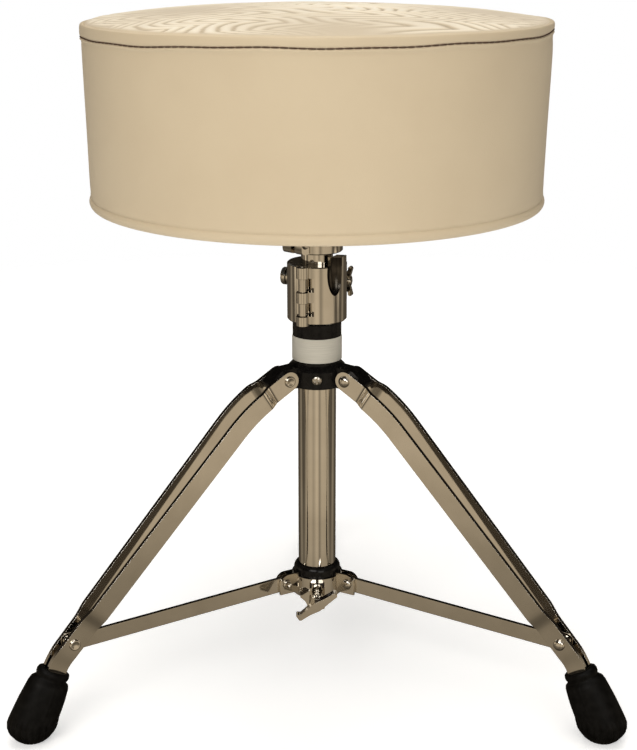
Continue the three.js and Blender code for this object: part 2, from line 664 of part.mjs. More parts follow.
// How far the outer faces of the two bars stand from the leg's middle plane, as [distance, half width].
const BAR_SPREAD = [
  [-BAR_WIDTH, 11], [16.7, 11], [25.3, 14], [PIVOT_TO_RIVET - 31, 10], [PIVOT_TO_RIVET - 15, 6.9],
  [PIVOT_TO_RIVET + 7, 6.5], [PIVOT_TO_RIVET + 20, 5.6], [PIVOT_TO_RIVET + 90, 5.6],
];

function barSpread(distance) {
  const next = BAR_SPREAD.findIndex(([at]) => at > distance);
  const [[from, a], [to, b]] = [BAR_SPREAD[next - 1], BAR_SPREAD[next]];
  return a + (b - a) * (distance - from) / (to - from);
}

const BAR_END = PIVOT_TO_RIVET + RIVET_TO_ANKLE + 12 + BAR_IN_FOOT;

function barStations() {
  const roundEnd = [80, 60, 40, 20].map((angle) => -BAR_WIDTH / 2 * Math.sin(radians(angle)));
  const bends = BAR_SPREAD.map(([at]) => at).filter((at) => at > 0 && at < BAR_END);
  const shoulder = [19.6, 29.5, 39.4, 49.3, 59.2];
  const ankle = [RIVET_TO_ANKLE, RIVET_TO_ANKLE + 4, RIVET_TO_ANKLE + 8, RIVET_TO_ANKLE + 12].map(
    (step) => PIVOT_TO_RIVET + step,
  );
  const all = [...roundEnd, 0, ...bends, ...shoulder, ...ankle, BAR_END];
  return [...new Set(all)].sort((a, b) => a - b);
}

// One flat bar of a leg; side is +1 or -1 across the leg's plane.
function legBar(side) {
  const half = BAR_WIDTH / 2;
  const rings = barStations().map((distance) => {
    const { r, z, lean } = distance < 0
      ? {
        r: LEG_PIVOT.r + distance * Math.sin(radians(TAB_LEAN)),
        z: LEG_PIVOT.z - distance * Math.cos(radians(TAB_LEAN)),
        lean: TAB_LEAN,
      }
      : legPoint(distance);
    const halfHere = distance < 0 ? Math.sqrt(half ** 2 - distance ** 2) : half;
    const across = { r: Math.cos(radians(lean)), z: Math.sin(radians(lean)) };
    const outer = side * barSpread(distance);
    const inner = side * (barSpread(distance) - BAR_THICKNESS);
    const corners = [[halfHere, outer], [halfHere, inner], [-halfHere, inner], [-halfHere, outer]];
    return corners.map(([up, y]) => new THREE.Vector3(r + up * across.r, y, z + up * across.z));
  });
  return cut(
    loft(rings),
    barAlongY(LEG_PIVOT.r, LEG_PIVOT.z, PIVOT_SHANK + GAP, -20, 20),
    barAlongY(LOWER_RIVET.r, LOWER_RIVET.z, RIVET_SHANK + GAP, -20, 20),
  );
}

// The lower rivet is in two halves that stop short of the brace between them.
const RIVET_GRIP = barSpread(PIVOT_TO_RIVET) + GAP;
const BRACE_CLEAR = BRACE_THICKNESS / 2 + GAP;

function lowerRivetHead() {
  return alongY(domedHead(RIVET_GRIP, BRACE_CLEAR, RIVET_SHANK, 4.7), -1, LOWER_RIVET);
}

function lowerRivetTail() {
  return alongY(rolledEnd(RIVET_GRIP, BRACE_CLEAR, RIVET_SHANK, 4.5), 1, LOWER_RIVET);
}

// Sections of the rubber foot down its axis: [share of length, radial and tangential half width, tilt].
const FOOT_SECTIONS = [
  [0, 11.6, 9.8, 1], [0.04, 13.4, 11.4, 1], [0.13, 13.4, 11.4, 1], [0.17, 12.6, 10.6, 1],
  [0.23, 15.6, 13.3, 0.9], [0.6, 18.2, 15.6, 0.5], [1, FOOT_RIM.radial, FOOT_RIM.tangential, 0],
];
// Below the rim, the domed sole: [height, share of the rim's half widths].
const SOLE_SECTIONS = [[11.5, 0.95], [6.5, 0.82], [2.8, 0.64], [0, 0.44]];
const FOOT_SEGMENTS = 20;

function footTop() {
  const entry = legPoint(PIVOT_TO_RIVET + RIVET_TO_ANKLE + 12 + 3);
  return { r: entry.r, z: entry.z };
}

function oval(center, radial, tangential, tilt) {
  return Array.from({ length: FOOT_SEGMENTS }, (_, i) => {
    const angle = TAU * i / FOOT_SEGMENTS;
    const out = radial * Math.cos(angle);
    return new THREE.Vector3(
      center.r + out * Math.cos(radians(tilt)),
      tangential * Math.sin(angle),
      center.z + out * Math.sin(radians(tilt)),
    );
  });
}

function rubberFoot() {
  const top = footTop();
  const lean = radians(FOOT_LEAN);
  const along = (share) => ({
    r: top.r + share * FOOT_LENGTH * Math.sin(lean),
    z: top.z - share * FOOT_LENGTH * Math.cos(lean),
  });
  const rim = along(1);
  const rings = FOOT_SECTIONS.map(
    ([share, radial, tangential, tilt]) => oval(along(share), radial, tangential, tilt * FOOT_LEAN),
  );
  for (const [height, share] of SOLE_SECTIONS) {
    rings.push(oval({ r: rim.r + 0.8, z: height }, share * FOOT_RIM.radial, share * FOOT_RIM.tangential, 0));
  }
  const depth = BAR_IN_FOOT + 4;
  const pocket = box(
    -BAR_WIDTH / 2 - GAP, BAR_WIDTH / 2 + GAP,
    -barSpread(BAR_END) - GAP, barSpread(BAR_END) + GAP,
    -depth, 10,
  );
  return cut(loft(rings), pocket.rotateY(-lean).translate(top.r, 0, top.z));
}

function brace() {
  const [from, to] = [BRACE_PIN, LOWER_RIVET];
  const run = to.r - from.r;
  const fall = to.z - from.z;
  const length = Math.hypot(run, fall);
  const { above, below, end } = BRACE_EDGES;
  const outline = roundedRectangle(-end, length + end, -below, above, 5);
  const bar = cut(
    sidePrism(outline, -BRACE_THICKNESS / 2, BRACE_THICKNESS / 2, 4),
    barAlongY(0, 0, CLEVIS_PIN_RADIUS + GAP, -5, 5),
    barAlongY(length, 0, RIVET_SHANK + GAP, -5, 5),
  );
  return bar.rotateY(-Math.atan2(fall, run)).translate(from.r, 0, from.z);
}

// ---------------------------------------------------------------- assembly

// The column stands off-centre in depth, so that the origin is under the middle of the whole object:
// the cushion reaches furthest forward and the rear foot furthest back.
const REAR_REACH = 274.2;
const throne = new THREE.Group();
throne.position.y = (CUSHION_RADIUS - REAR_REACH) / 2;

add(throne, 'base_tube', ring(TUBE_RADIUS, TUBE_BORE, TUBE_BOTTOM, TUBE_TOP, 32), chrome);
add(throne, 'tube_end_plug', tubeEndPlug(), blackNylon);
add(throne, 'tube_guide_bush', tubeGuideBush(), blackNylon);
add(throne, 'tripod_hub', tripodHub(), blackNylon);
add(throne, 'hub_screw', hubScrew(), chrome);
add(throne, 'sleeve_label', sleeveLabel(), foil);

const clamp = new THREE.Group();
clamp.rotation.z = radians(CLAMP_TURN);
throne.add(clamp);
add(clamp, 'clamp_fixed_half', clampFixedHalf(), chrome);
add(clamp, 'clamp_swing_half', clampSwingHalf(), chrome);
add(clamp, 'clamp_hinge_pin', clampHingePin(), chrome);
add(clamp, 'clamp_draw_bolt', clampDrawBolt(), chrome);
add(clamp, 'clamp_washer', clampWasher(), chrome);
add(clamp, 'clamp_wing_nut', clampWingNut(), chrome);

add(throne, 'seat_post', seatPost(), chrome);
add(throne, 'post_slide_ring', postSlideRing(), blackNylon);
add(throne, 'seat_collar', seatCollar(), chrome);
add(throne, 'pinch_bolt', pinchBolt(), chrome);
add(throne, 'pinch_nut', pinchNut(), chrome);
add(throne, 'seat_plate', seatPlate(), chrome);
PLATE_SCREW_PLACES.forEach((place, i) => add(throne, `plate_screw_${i + 1}`, plateScrew(place), chrome));
add(throne, 'dust_cloth', dustCloth(), cloth);
add(throne, 'seat_board', seatBoard(), plywood);
add(throne, 'cushion', cushion(), vinyl);

add(throne, 'lower_hub_spider', lowerHubSpider(), chrome);
add(throne, 'lower_hub_bush', lowerHubBush(), blackNylon);
add(throne, 'hub_wing_screw', hubWingScrew(), chrome);

for (const [side, azimuth] of Object.entries(LEG_AZIMUTHS)) {
  add(throne, `${side}_clevis_pin`, clevisPin(azimuth), chrome);
  const leg = new THREE.Group();
  leg.rotation.z = radians(azimuth);
  throne.add(leg);
  add(leg, `${side}_leg_head_bar`, legBar(-1), chrome);
  add(leg, `${side}_leg_tail_bar`, legBar(1), chrome);
  add(leg, `${side}_leg_pivot_rivet`, wholeRivet(LEG_PIVOT, 11 + GAP, PIVOT_SHANK, 4.7), chrome);
  add(leg, `${side}_leg_rivet_head`, lowerRivetHead(), chrome);
  add(leg, `${side}_leg_rivet_tail`, lowerRivetTail(), chrome);
  add(leg, `${side}_foot`, rubberFoot(), rubber);
  add(leg, `${side}_brace`, brace(), chrome);
}

export default throne;
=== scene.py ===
"""A drum throne: the fine surface of each piece, its materials, the light and the camera.

Shapes are drawn in millimetres from the foot of the column's axis, and moved into the row frame, in
metres, when they become pieces. A shape is a pair: its points, and its faces as tuples of point numbers.
"""

import math

import bmesh
import bpy
import numpy as np
from mathutils import Matrix, Vector


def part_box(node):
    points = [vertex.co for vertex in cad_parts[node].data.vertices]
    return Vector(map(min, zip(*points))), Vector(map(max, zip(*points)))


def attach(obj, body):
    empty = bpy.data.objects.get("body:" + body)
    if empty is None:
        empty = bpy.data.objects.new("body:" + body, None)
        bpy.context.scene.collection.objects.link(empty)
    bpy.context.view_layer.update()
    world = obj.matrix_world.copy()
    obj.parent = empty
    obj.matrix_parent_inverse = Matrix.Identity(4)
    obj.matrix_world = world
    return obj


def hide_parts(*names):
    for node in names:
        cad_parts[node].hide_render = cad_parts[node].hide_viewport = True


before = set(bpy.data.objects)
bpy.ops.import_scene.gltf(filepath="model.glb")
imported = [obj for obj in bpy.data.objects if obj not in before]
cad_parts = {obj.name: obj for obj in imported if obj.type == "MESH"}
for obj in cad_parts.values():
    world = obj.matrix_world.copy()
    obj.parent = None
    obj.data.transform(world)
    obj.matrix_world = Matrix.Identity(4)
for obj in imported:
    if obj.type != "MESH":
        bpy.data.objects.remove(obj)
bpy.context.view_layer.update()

# ------------------------------------------------------------------ dimensions, in millimetres

MM = 0.001
GAP = 0.3
TAU = 2 * math.pi


def column_foot():
    """Where the column's axis meets the floor, in the row frame."""
    low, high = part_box("base_tube")
    return Vector(((low[0] + high[0]) / 2, (low[1] + high[1]) / 2, 0))


COLUMN = column_foot()


def span(node):
    """The lowest and highest corner of a CAD node, in millimetres from the foot of the column's axis."""
    return [(Vector(corner) - COLUMN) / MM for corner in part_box(node)]


def radius_of(node):
    low, high = span(node)
    return (high.x - low.x) / 2


TUBE_RADIUS = radius_of("base_tube")
TUBE_WALL = 1.5
TUBE_BOTTOM, TUBE_TOP = (corner.z for corner in span("base_tube"))
POST_RADIUS = radius_of("seat_post")
POST_WALL = 2
POST_BOTTOM, POST_TOP = (corner.z for corner in span("seat_post"))
CUSHION_RADIUS = radius_of("cushion")
CROWN_HEIGHT = span("cushion")[1].z

LEG_AZIMUTHS = {"right": -30, "rear": 90, "left": 210}
LEG_PIVOT = (31.0, 259.2)  # radius, height
BRACE_PIN = (31.2, 81.5)
PIVOT_SHANK = 3.2
PIN_SHANK = 2.6
RIVET_SHANK = 3
RIVET_HEAD = 4.7
BAR_WIDTH = 15.7
BAR_THICKNESS = 3.5
TAB_LEAN = 60  # degrees from vertical
MAIN_LEAN = 43.1
FOOT_LEAN = 27.5
TAB_LENGTH = 19.6
SHOULDER_RADIUS = 134.6
ANKLE_RADIUS = 44
PIVOT_TO_RIVET = 264.5
RIVET_TO_ANKLE = 10
BAR_IN_FOOT = 22

HUB_RADIUS = 23.7
LUG_HALF_WIDTH = 7.2
HUB_BOTTOM = 251.5
HUB_TOP = 270
SLEEVE_RADIUS = 19.6
SLEEVE_TOP = 304.2
HUB_SCREW_HEIGHT = 260
LABEL_BOTTOM = 272.6
LABEL_TOP = 292.2
LABEL_HALF_WRAP = 82  # degrees either side of the front

CLAMP_TURN = -20
CLAMP_RADIUS = 23.8
CLAMP_BOTTOM = 304.8
CLAMP_TOP = 351.4
CLAMP_HINGE = (-3.1, -24.1)
CLAMP_HINGE_RADIUS = 5.2
CLAMP_KNUCKLES = [304.8, 312.4, 322.8, 331.8, 342.4, 351.4]
CLAMP_BOLT = (25.2, 331.4)
CLAMP_EARS = {"left": -30, "slit": -11.5, "right": 12}
WING_REACH = 12.2

COLLAR_RADIUS = 20.5
COLLAR_BOTTOM = 360.5
COLLAR_TOP = 397
PINCH_AZIMUTH = -132
PINCH_OUT = 23.5
PINCH_HEIGHT = 370.5
BOARD_RADIUS = 171
BOARD_TOP = 414

SPIDER_RADIUS = 21
SPIDER_WALL = 2.5
SPIDER_BOTTOM = 69
SPIDER_TOP = 86
WING_SCREW_HEIGHT = 75
WING_SCREW_HOLE = 3.4
EAR_FACES = (2.15, 4.55)

SEAM_HEIGHT = 530
TOP_PANEL_RADIUS = 174
TOP_PANEL_HEIGHT = 537.4
WELT_HEIGHT = 407.5
STITCH_PITCH = 6.0

FOOT_LENGTH = 41.8
FOOT_RIM = (20.5, 17.5)

# ------------------------------------------------------------------ shapes


def outward(shape):
    """The same closed shape with its faces pointing out."""
    points, faces = shape
    corners = [[points[i] for i in face] for face in faces]
    volume = sum(
        ring[0].dot(ring[k].cross(ring[k + 1])) for ring in corners for k in range(1, len(ring) - 1)
    )
    return (points, faces) if volume > 0 else (points, [face[::-1] for face in faces])


def loft(rings, closed=False):
    """A skin through rings of points, each with the same count, flat at both ends or closed on itself."""
    count = len(rings[0])
    points = [Vector(point) for ring in rings for point in ring]
    faces = []
    for i in range(len(rings) if closed else len(rings) - 1):
        here, there = i * count, (i + 1) % len(rings) * count
        for j in range(count):
            k = (j + 1) % count
            faces.append((here + j, here + k, there + k, there + j))
    if not closed:
        faces.append(tuple(range(count))[::-1])
        faces.append(tuple(range((len(rings) - 1) * count, len(rings) * count)))
    return outward((points, faces))


def circle(radius, height, segments):
    angles = [TAU * i / segments for i in range(segments)]
    return [(radius * math.cos(angle), radius * math.sin(angle), height) for angle in angles]


def turned(profile, segments=96):
    """A solid of revolution about Z through (radius, height) points, closed flat at both ends."""
    return loft([circle(radius, height, segments) for radius, height in profile])


def hollow(profile, segments=96):
    """A ring-shaped solid whose section is this closed outline of (radius, height) points."""
    return loft([circle(radius, height, segments) for radius, height in profile], closed=True)


def pipe(outer, wall, bottom, top):
    """A tube about Z, open at both ends."""
    inner = outer - wall
    return hollow([(inner, bottom), (outer, bottom), (outer, top), (inner, top)], 128)


def disc(radius, bottom, top, segments=96):
    return turned([(radius, bottom), (radius, top)], segments)


def prism(outline, low, high, axis="z"):
    """A flat outline given depth: (x, y) along z, (x, z) along y, or (y, z) along x."""
    place = {
        "z": lambda a, b, depth: (a, b, depth),
        "y": lambda a, b, depth: (a, depth, b),
        "x": lambda a, b, depth: (depth, a, b),
    }[axis]
    return loft([[place(a, b, depth) for a, b in outline] for depth in (low, high)])


def box(x0, x1, y0, y1, z0, z1):
    return prism([(x0, y0), (x1, y0), (x1, y1), (x0, y1)], z0, z1)


def rounded(corners, radius, steps=5):
    """The outline through these corners, with each corner turned into a smooth curve."""
    outline = []
    for i, corner in enumerate(corners):
        corner = Vector(corner)
        before = Vector(corners[i - 1]) - corner
        after = Vector(corners[(i + 1) % len(corners)]) - corner
        reach = radius / math.tan(before.angle(after) / 2)
        start = corner + min(reach, 0.49 * before.length) * before.normalized()
        end = corner + min(reach, 0.49 * after.length) * after.normalized()
        for step in range(steps + 1):
            t = step / steps
            point = (1 - t) ** 2 * start + 2 * t * (1 - t) * corner + t**2 * end
            outline.append((point.x, point.y))
    return outline


def rectangle(x0, x1, y0, y1, radius):
    return rounded([(x0, y0), (x1, y0), (x1, y1), (x0, y1)], radius)


def arc(centre, radius, start, end, steps=12):
    """Points on an arc between two angles in degrees."""
    angles = [math.radians(start + (end - start) * i / steps) for i in range(steps + 1)]
    return [(centre[0] + radius * math.cos(a), centre[1] + radius * math.sin(a)) for a in angles]


def moved(shape, *matrices):
    """The shape after each of these 4 by 4 matrices in turn."""
    points, faces = shape
    for matrix in matrices:
        points = [matrix @ point for point in points]
    return points, faces


def shift(x=0, y=0, z=0):
    return Matrix.Translation((x, y, z))


def turn(degrees, axis="Z"):
    return Matrix.Rotation(math.radians(degrees), 4, axis)


def at_each_leg(shape):
    """A shape drawn for azimuth 0, turned to each leg's azimuth."""
    return [moved(shape, turn(azimuth)) for azimuth in LEG_AZIMUTHS.values()]


OFF_SQUARE = 1.3  # degrees that drills are turned by, so that their corners miss other edges


def bar_along_y(x, z, radius, y0, y1, segments=48):
    return moved(disc(radius, y0, y1, segments), turn(OFF_SQUARE), turn(-90, "X"), shift(x, 0, z))


def bar_along_x(y, z, radius, x0, x1, segments=48):
    return moved(disc(radius, x0, x1, segments), turn(OFF_SQUARE), turn(90, "Y"), shift(0, y, z))


def added(name, data):
    """A new object in the scene."""
    thing = bpy.data.objects.new(name, data)
    bpy.context.scene.collection.objects.link(thing)
    return thing


def temporary(shape):
    """An object made only to be worked on and thrown away."""
    points, faces = shape
    mesh = bpy.data.meshes.new("temporary")
    mesh.from_pydata(list(points), [], faces)
    return added("temporary", mesh)


def combined(operation, shape, tools):
    """Joins or cuts a shape with others by Blender's exact boolean."""
    things = [temporary(each) for each in (shape, *tools)]
    for tool in things[1:]:
        step = things[0].modifiers.new(operation, "BOOLEAN")
        step.operation = operation
        step.solver = "EXACT"
        step.object = tool
    bpy.context.view_layer.update()
    done = things[0].evaluated_get(bpy.context.evaluated_depsgraph_get())
    tidy = bmesh.new()
    tidy.from_mesh(done.to_mesh())
    done.to_mesh_clear()
    bmesh.ops.remove_doubles(tidy, verts=tidy.verts, dist=0.002)
    bmesh.ops.holes_fill(tidy, edges=tidy.edges, sides=8)
    tidy.verts.index_update()
    points = [vertex.co.copy() for vertex in tidy.verts]
    faces = [tuple(corner.index for corner in face.verts) for face in tidy.faces]
    tidy.free()
    for thing in things:
        bpy.data.meshes.remove(thing.data)
    return points, faces


def fused(shape, *others):
    return combined("UNION", shape, others)


def cut(shape, *tools):
    return combined("DIFFERENCE", shape, tools)


def shared(a, b):
    return combined("INTERSECT", a, [b])


# ------------------------------------------------------------------ materials


def shader_node(tree, kind, inputs=None, **settings):
    """A shader node with these settings, and each input given a value or joined to an output."""
    node = tree.nodes.new(f"ShaderNode{kind}")
    for name, value in settings.items():
        setattr(node, name, value)
    for key, value in (inputs or {}).items():
        if isinstance(value, bpy.types.NodeSocket):
            tree.links.new(value, node.inputs[key])
        else:
            node.inputs[key].default_value = value
    return node


def color_ramp(tree, source, stops):
    """A colour ramp through (position, colour) stops."""
    node = shader_node(tree, "ValToRGB", {"Fac": source})
    elements = node.color_ramp.elements
    while len(elements) < len(stops):
        elements.new(0.5)
    for element, (position, color) in zip(elements, stops):
        element.position = position
        element.color = (*color, 1)
    return node.outputs["Color"]


class Look:
    """A Principled material with short calls for its texture nodes."""

    def __init__(self, name, color, roughness, metallic=0.0, **sockets):
        self.material = bpy.data.materials.new(name)
        self.material.use_nodes = True
        self.tree = self.material.node_tree
        self.shader = self.tree.nodes["Principled BSDF"]
        sockets |= {"Base_Color": (*color, 1), "Roughness": roughness, "Metallic": metallic}
        for socket, value in sockets.items():
            self.shader.inputs[socket.replace("_", " ")].default_value = value
        self.place = self.node("TexCoord").outputs["Object"]

    def node(self, kind, inputs=None, **settings):
        return shader_node(self.tree, kind, inputs, **settings)

    def join(self, output, socket):
        self.tree.links.new(output, self.shader.inputs[socket])

    def stretched(self, x, y, z):
        """Coordinates scaled by different amounts along each axis."""
        return self.node("Mapping", {"Vector": self.place, "Scale": (x, y, z)}).outputs["Vector"]

    def noise(self, size, detail=4.0, place=None, roughness=0.5):
        """Noise whose blotches are about this many millimetres across."""
        inputs = {"Scale": 1 / (size * MM), "Detail": detail, "Roughness": roughness}
        return self.node("TexNoise", {"Vector": place or self.place, **inputs}).outputs["Fac"]

    def cells(self, size):
        """Distance to the middles of cells about this many millimetres across."""
        inputs = {"Vector": self.place, "Scale": 1 / (size * MM)}
        return self.node("TexVoronoi", inputs).outputs["Distance"]

    def ramp(self, source, *stops):
        return color_ramp(self.tree, source, stops)

    def paint(self, color):
        self.join(color, "Base Color")

    def mottle(self, source, dark, light):
        """Paints with two tones that blend into each other where the source is near its middle."""
        self.paint(self.ramp(source, (0.3, dark), (0.7, light)))

    def gloss(self, source, low, high):
        """Roughness from low to high as the source goes from 0 to 1."""
        levels = self.node("MapRange", {"Value": source, "To Min": low, "To Max": high})
        self.join(levels.outputs["Result"], "Roughness")

    def bump(self, source, depth):
        """Adds relief of this many millimetres on top of any before it."""
        inputs = {"Height": source, "Distance": depth * MM}
        for link in self.shader.inputs["Normal"].links:
            inputs["Normal"] = link.from_socket
        self.join(self.node("Bump", inputs).outputs["Normal"], "Normal")


def chrome():
    """Polished chrome plate: a few soft swirls from buffing, and a faint haze."""
    look = Look("chrome_plate", (0.66, 0.63, 0.57), 0.08, 1.0)
    look.mottle(look.noise(26, 3), (0.62, 0.585, 0.525), (0.70, 0.665, 0.605))
    look.gloss(look.noise(9, 5), 0.04, 0.11)
    look.bump(look.noise(34, 2), 0.03)
    return look.material


def shaded_chrome():
    """Painted shade: near-black chrome for the hollow of the clamp's thumb scoop."""
    look = Look("shaded_chrome", (0.05, 0.045, 0.038), 0.2, 1.0)
    look.mottle(look.noise(9, 4), (0.028, 0.024, 0.02), (0.075, 0.068, 0.058))
    look.gloss(look.noise(4, 4), 0.12, 0.3)
    look.bump(look.noise(3, 3), 0.04)
    return look.material


def zinc():
    """Bright zinc on the screws and small hardware, duller than the chrome."""
    look = Look("bright_zinc", (0.56, 0.53, 0.48), 0.26, 1.0)
    look.mottle(look.noise(3, 4), (0.47, 0.44, 0.39), (0.62, 0.59, 0.53))
    look.gloss(look.noise(1.6, 3), 0.18, 0.36)
    look.bump(look.noise(0.6, 2), 0.01)
    return look.material


def black_nylon():
    """Glossy moulded nylon with a very fine texture."""
    look = Look("black_nylon", (0.006, 0.0055, 0.005), 0.2, Specular_IOR_Level=0.16)
    look.mottle(look.noise(5, 4), (0.0035, 0.003, 0.0027), (0.009, 0.008, 0.007))
    look.gloss(look.noise(2.2, 4), 0.12, 0.26)
    look.bump(look.noise(0.5, 3), 0.02)
    return look.material


def rubber():
    """Matte black rubber with a dusty bloom."""
    look = Look("black_rubber", (0.004, 0.0036, 0.003), 0.45, Specular_IOR_Level=0.08)
    look.paint(look.ramp(look.noise(7, 5), (0.35, (0.002, 0.0018, 0.0015)), (0.75, (0.006, 0.0054, 0.0045))))
    look.gloss(look.noise(3, 4), 0.34, 0.55)
    look.bump(look.noise(0.7, 3), 0.05)
    return look.material


def foil_label():
    """Brushed silver foil, left blank."""
    look = Look("foil_label", (0.56, 0.52, 0.43), 0.36)
    streaks = look.noise(1.2, 4, place=look.stretched(0.08, 0.08, 4))
    look.mottle(streaks, (0.50, 0.465, 0.38), (0.60, 0.56, 0.465))
    look.gloss(streaks, 0.3, 0.42)
    look.bump(streaks, 0.01)
    return look.material


def plywood():
    look = Look("plywood", (0.42, 0.27, 0.14), 0.7)
    grain = look.noise(3, 6, place=look.stretched(1, 0.12, 1), roughness=0.6)
    look.mottle(grain, (0.30, 0.185, 0.09), (0.50, 0.34, 0.19))
    look.bump(grain, 0.15)
    return look.material


def dust_cloth():
    """Thin black non-woven cloth with a dotted bond pattern."""
    look = Look("dust_cloth", (0.02, 0.019, 0.018), 0.95, Sheen_Weight=0.3)
    dots = look.cells(1.6)
    look.paint(look.ramp(dots, (0.1, (0.010, 0.0095, 0.009)), (0.7, (0.030, 0.028, 0.026))))
    look.bump(dots, 0.12)
    look.bump(look.noise(0.4, 4), 0.05)
    return look.material


def vinyl():
    """Smooth cream upholstery vinyl with a fine pebble grain."""
    look = Look("cream_vinyl", (0.66, 0.53, 0.35), 0.5, Specular_IOR_Level=0.32, Sheen_Weight=0.05)
    look.mottle(look.noise(60, 3), (0.64, 0.520, 0.350), (0.665, 0.545, 0.370))
    look.gloss(look.noise(12, 4), 0.42, 0.56)
    look.bump(look.cells(0.9), 0.05)
    look.bump(look.noise(7, 3), 0.06)
    return look.material


def velvet():
    """Cream crushed velvet with painted sheen on the crests and painted shade in the creases of its relief.
    """
    look = Look("cream_velvet", (0.76, 0.66, 0.49), 0.8, Sheen_Weight=0.2, Sheen_Roughness=0.4)
    # Painted light: the relief map makes the crests lighter as painted sheen and the creases darker as
    # painted shade.
    crest_sheen_and_crease_shade = look.node("Attribute", attribute_name="crest_sheen_and_crease_shade").outputs["Fac"]
    crease_shade_to_crest_sheen = [
        (0.15, (0.34, 0.245, 0.135)),
        (0.45, (0.60, 0.485, 0.325)),
        (0.65, (0.84, 0.735, 0.56)),
        (0.95, (0.96, 0.87, 0.70)),
    ]
    look.paint(look.ramp(crest_sheen_and_crease_shade, *crease_shade_to_crest_sheen))
    look.gloss(crest_sheen_and_crease_shade, 0.85, 0.62)
    look.bump(look.noise(0.5, 4), 0.12)
    look.bump(look.noise(3, 4), 0.25)
    return look.material


def thread():
    look = Look("brown_thread", (0.06, 0.036, 0.022), 0.75)
    twist = look.noise(0.5, 2, place=look.stretched(1, 1, 2))
    look.mottle(twist, (0.052, 0.025, 0.015), (0.12, 0.064, 0.04))
    look.bump(twist, 0.15)
    return look.material


CHROME = chrome()
SHADED_CHROME = shaded_chrome()
ZINC = zinc()
NYLON = black_nylon()
RUBBER = rubber()
FOIL = foil_label()
PLYWOOD = plywood()
CLOTH = dust_cloth()
VINYL = vinyl()
VELVET = velvet()
THREAD = thread()

# ------------------------------------------------------------------ pieces


def in_row_frame(shape):
    return [point * MM + COLUMN for point in shape[0]], shape[1]


def piece(name, shape, material, body, nodes=(), bevel=0.4, segments=2):
    """A shape as an object of the throne, with its corners eased and its normals kept smooth."""
    points, faces = in_row_frame(shape)
    mesh = bpy.data.meshes.new(name)
    mesh.from_pydata(points, [], faces)
    mesh.materials.append(material)
    mesh.shade_smooth()
    thing = added(name, mesh)
    if bevel:
        ease(thing, bevel, segments)
    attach(thing, body)
    if nodes:
        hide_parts(*nodes)
    return thing


def ease(thing, bevel, segments=2):
    step = thing.modifiers.new("eased_corners", "BEVEL")
    step.width = bevel * MM
    step.segments = segments
    step.limit_method = "ANGLE"
    step.angle_limit = math.radians(28)
    step.harden_normals = True


def kept(node, material, bevel=0.25):
    """A CAD node that stays as it is, with a better material and eased corners."""
    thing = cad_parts[node]
    thing.data.materials.clear()
    thing.data.materials.append(material)
    ease(thing, bevel)


# ------------------------------------------------------------------ rivets and screws


def dome(grip, head, side):
    """The profile of a rivet's domed head from its rim to the axis."""
    rise = 0.55 * head
    angles = [math.radians(9 * i) for i in range(10)]
    curve = [(head * math.cos(a), side * (grip + rise * math.sin(a))) for a in angles]
    return curve + [(0.02, side * (grip + rise))]


def rolled(grip, collar, side):
    """The profile of a tubular rivet's rolled end: a low round collar with a dimple in the middle."""
    heights = [(collar, 0), (collar, 0.5), (collar - 0.3, 1.1), (collar - 0.9, 1.35), (collar - 1.6, 1.2)]
    curve = [(radius, side * (grip + height)) for radius, height in heights]
    return curve + [(1.2, side * (grip + 0.5)), (0.02, side * (grip + 0.45))]


def across(shape, at):
    """Turns a shape drawn about Z to lie across the leg, along +Y."""
    return moved(shape, turn(-90, "X"), shift(at[0], 0, at[1]))


def whole_rivet(at, grip, shank, head):
    profile = dome(grip, head, -1)[::-1]
    profile += [(shank, -grip), (shank, grip)]
    profile += rolled(grip, head - 0.2, 1)
    return across(turned(profile, 48), at)


def half_rivet(at, clear, shank, end_profile, side):
    """One side of a lower rivet, from beside the brace out to its dome or its rolled end."""
    stem = [(0.02, side * clear), (shank, side * clear), (shank, end_profile[0][1])]
    return across(turned(stem + end_profile, 48), at)


def pan_screw(head, rise, shank, length):
    """A pan head that looks down, with its shank above it."""
    head_curve = [(head * math.sin(a), rise * (1 - math.cos(a)) * 0.7) for a in np.linspace(0.02, 1.5, 9)]
    return turned(head_curve + [(head, rise), (shank, rise), (shank, rise + length)], 48)


# ------------------------------------------------------------------ base column


def make_column():
    tube = pipe(TUBE_RADIUS, TUBE_WALL, TUBE_BOTTOM, TUBE_TOP)
    piece("column_tube", tube, CHROME, "base", ["base_tube"])
    post = pipe(POST_RADIUS, POST_WALL, POST_BOTTOM, POST_TOP)
    piece("telescopic_post", post, CHROME, "post", ["seat_post"])
    for name in ("tube_end_plug", "tube_guide_bush", "post_slide_ring"):
        kept(name, NYLON)


def make_tripod_hub():
    bore = TUBE_RADIUS + GAP
    body = hollow(
        [
            (bore, HUB_BOTTOM), (HUB_RADIUS - 1.2, HUB_BOTTOM), (HUB_RADIUS, HUB_BOTTOM + 1.2),
            (HUB_RADIUS, HUB_TOP - 4.5), (HUB_RADIUS - 1, HUB_TOP - 3.2), (SLEEVE_RADIUS, HUB_TOP),
            (SLEEVE_RADIUS, SLEEVE_TOP - 0.8), (SLEEVE_RADIUS - 0.8, SLEEVE_TOP), (bore, SLEEVE_TOP),
        ]
    )
    outline = rounded(
        [(17, HUB_BOTTOM), (43.5, HUB_BOTTOM), (48, 257.2), (36, HUB_TOP - 2.6), (17, HUB_TOP - 1)], 2.5
    )
    lugs = at_each_leg(prism(outline, -LUG_HALF_WIDTH, LUG_HALF_WIDTH, "y"))
    holes = at_each_leg(bar_along_y(*LEG_PIVOT, PIVOT_SHANK + GAP, -20, 20))
    screw_hole = bar_along_y(0, HUB_SCREW_HEIGHT, 2.3, -30, -10)
    hub = cut(fused(body, *lugs), disc(bore, HUB_BOTTOM - 1, SLEEVE_TOP + 1, 96), screw_hole, *holes)
    piece("tripod_hub_moulding", hub, NYLON, "base", ["tripod_hub"], 0.8, 3)


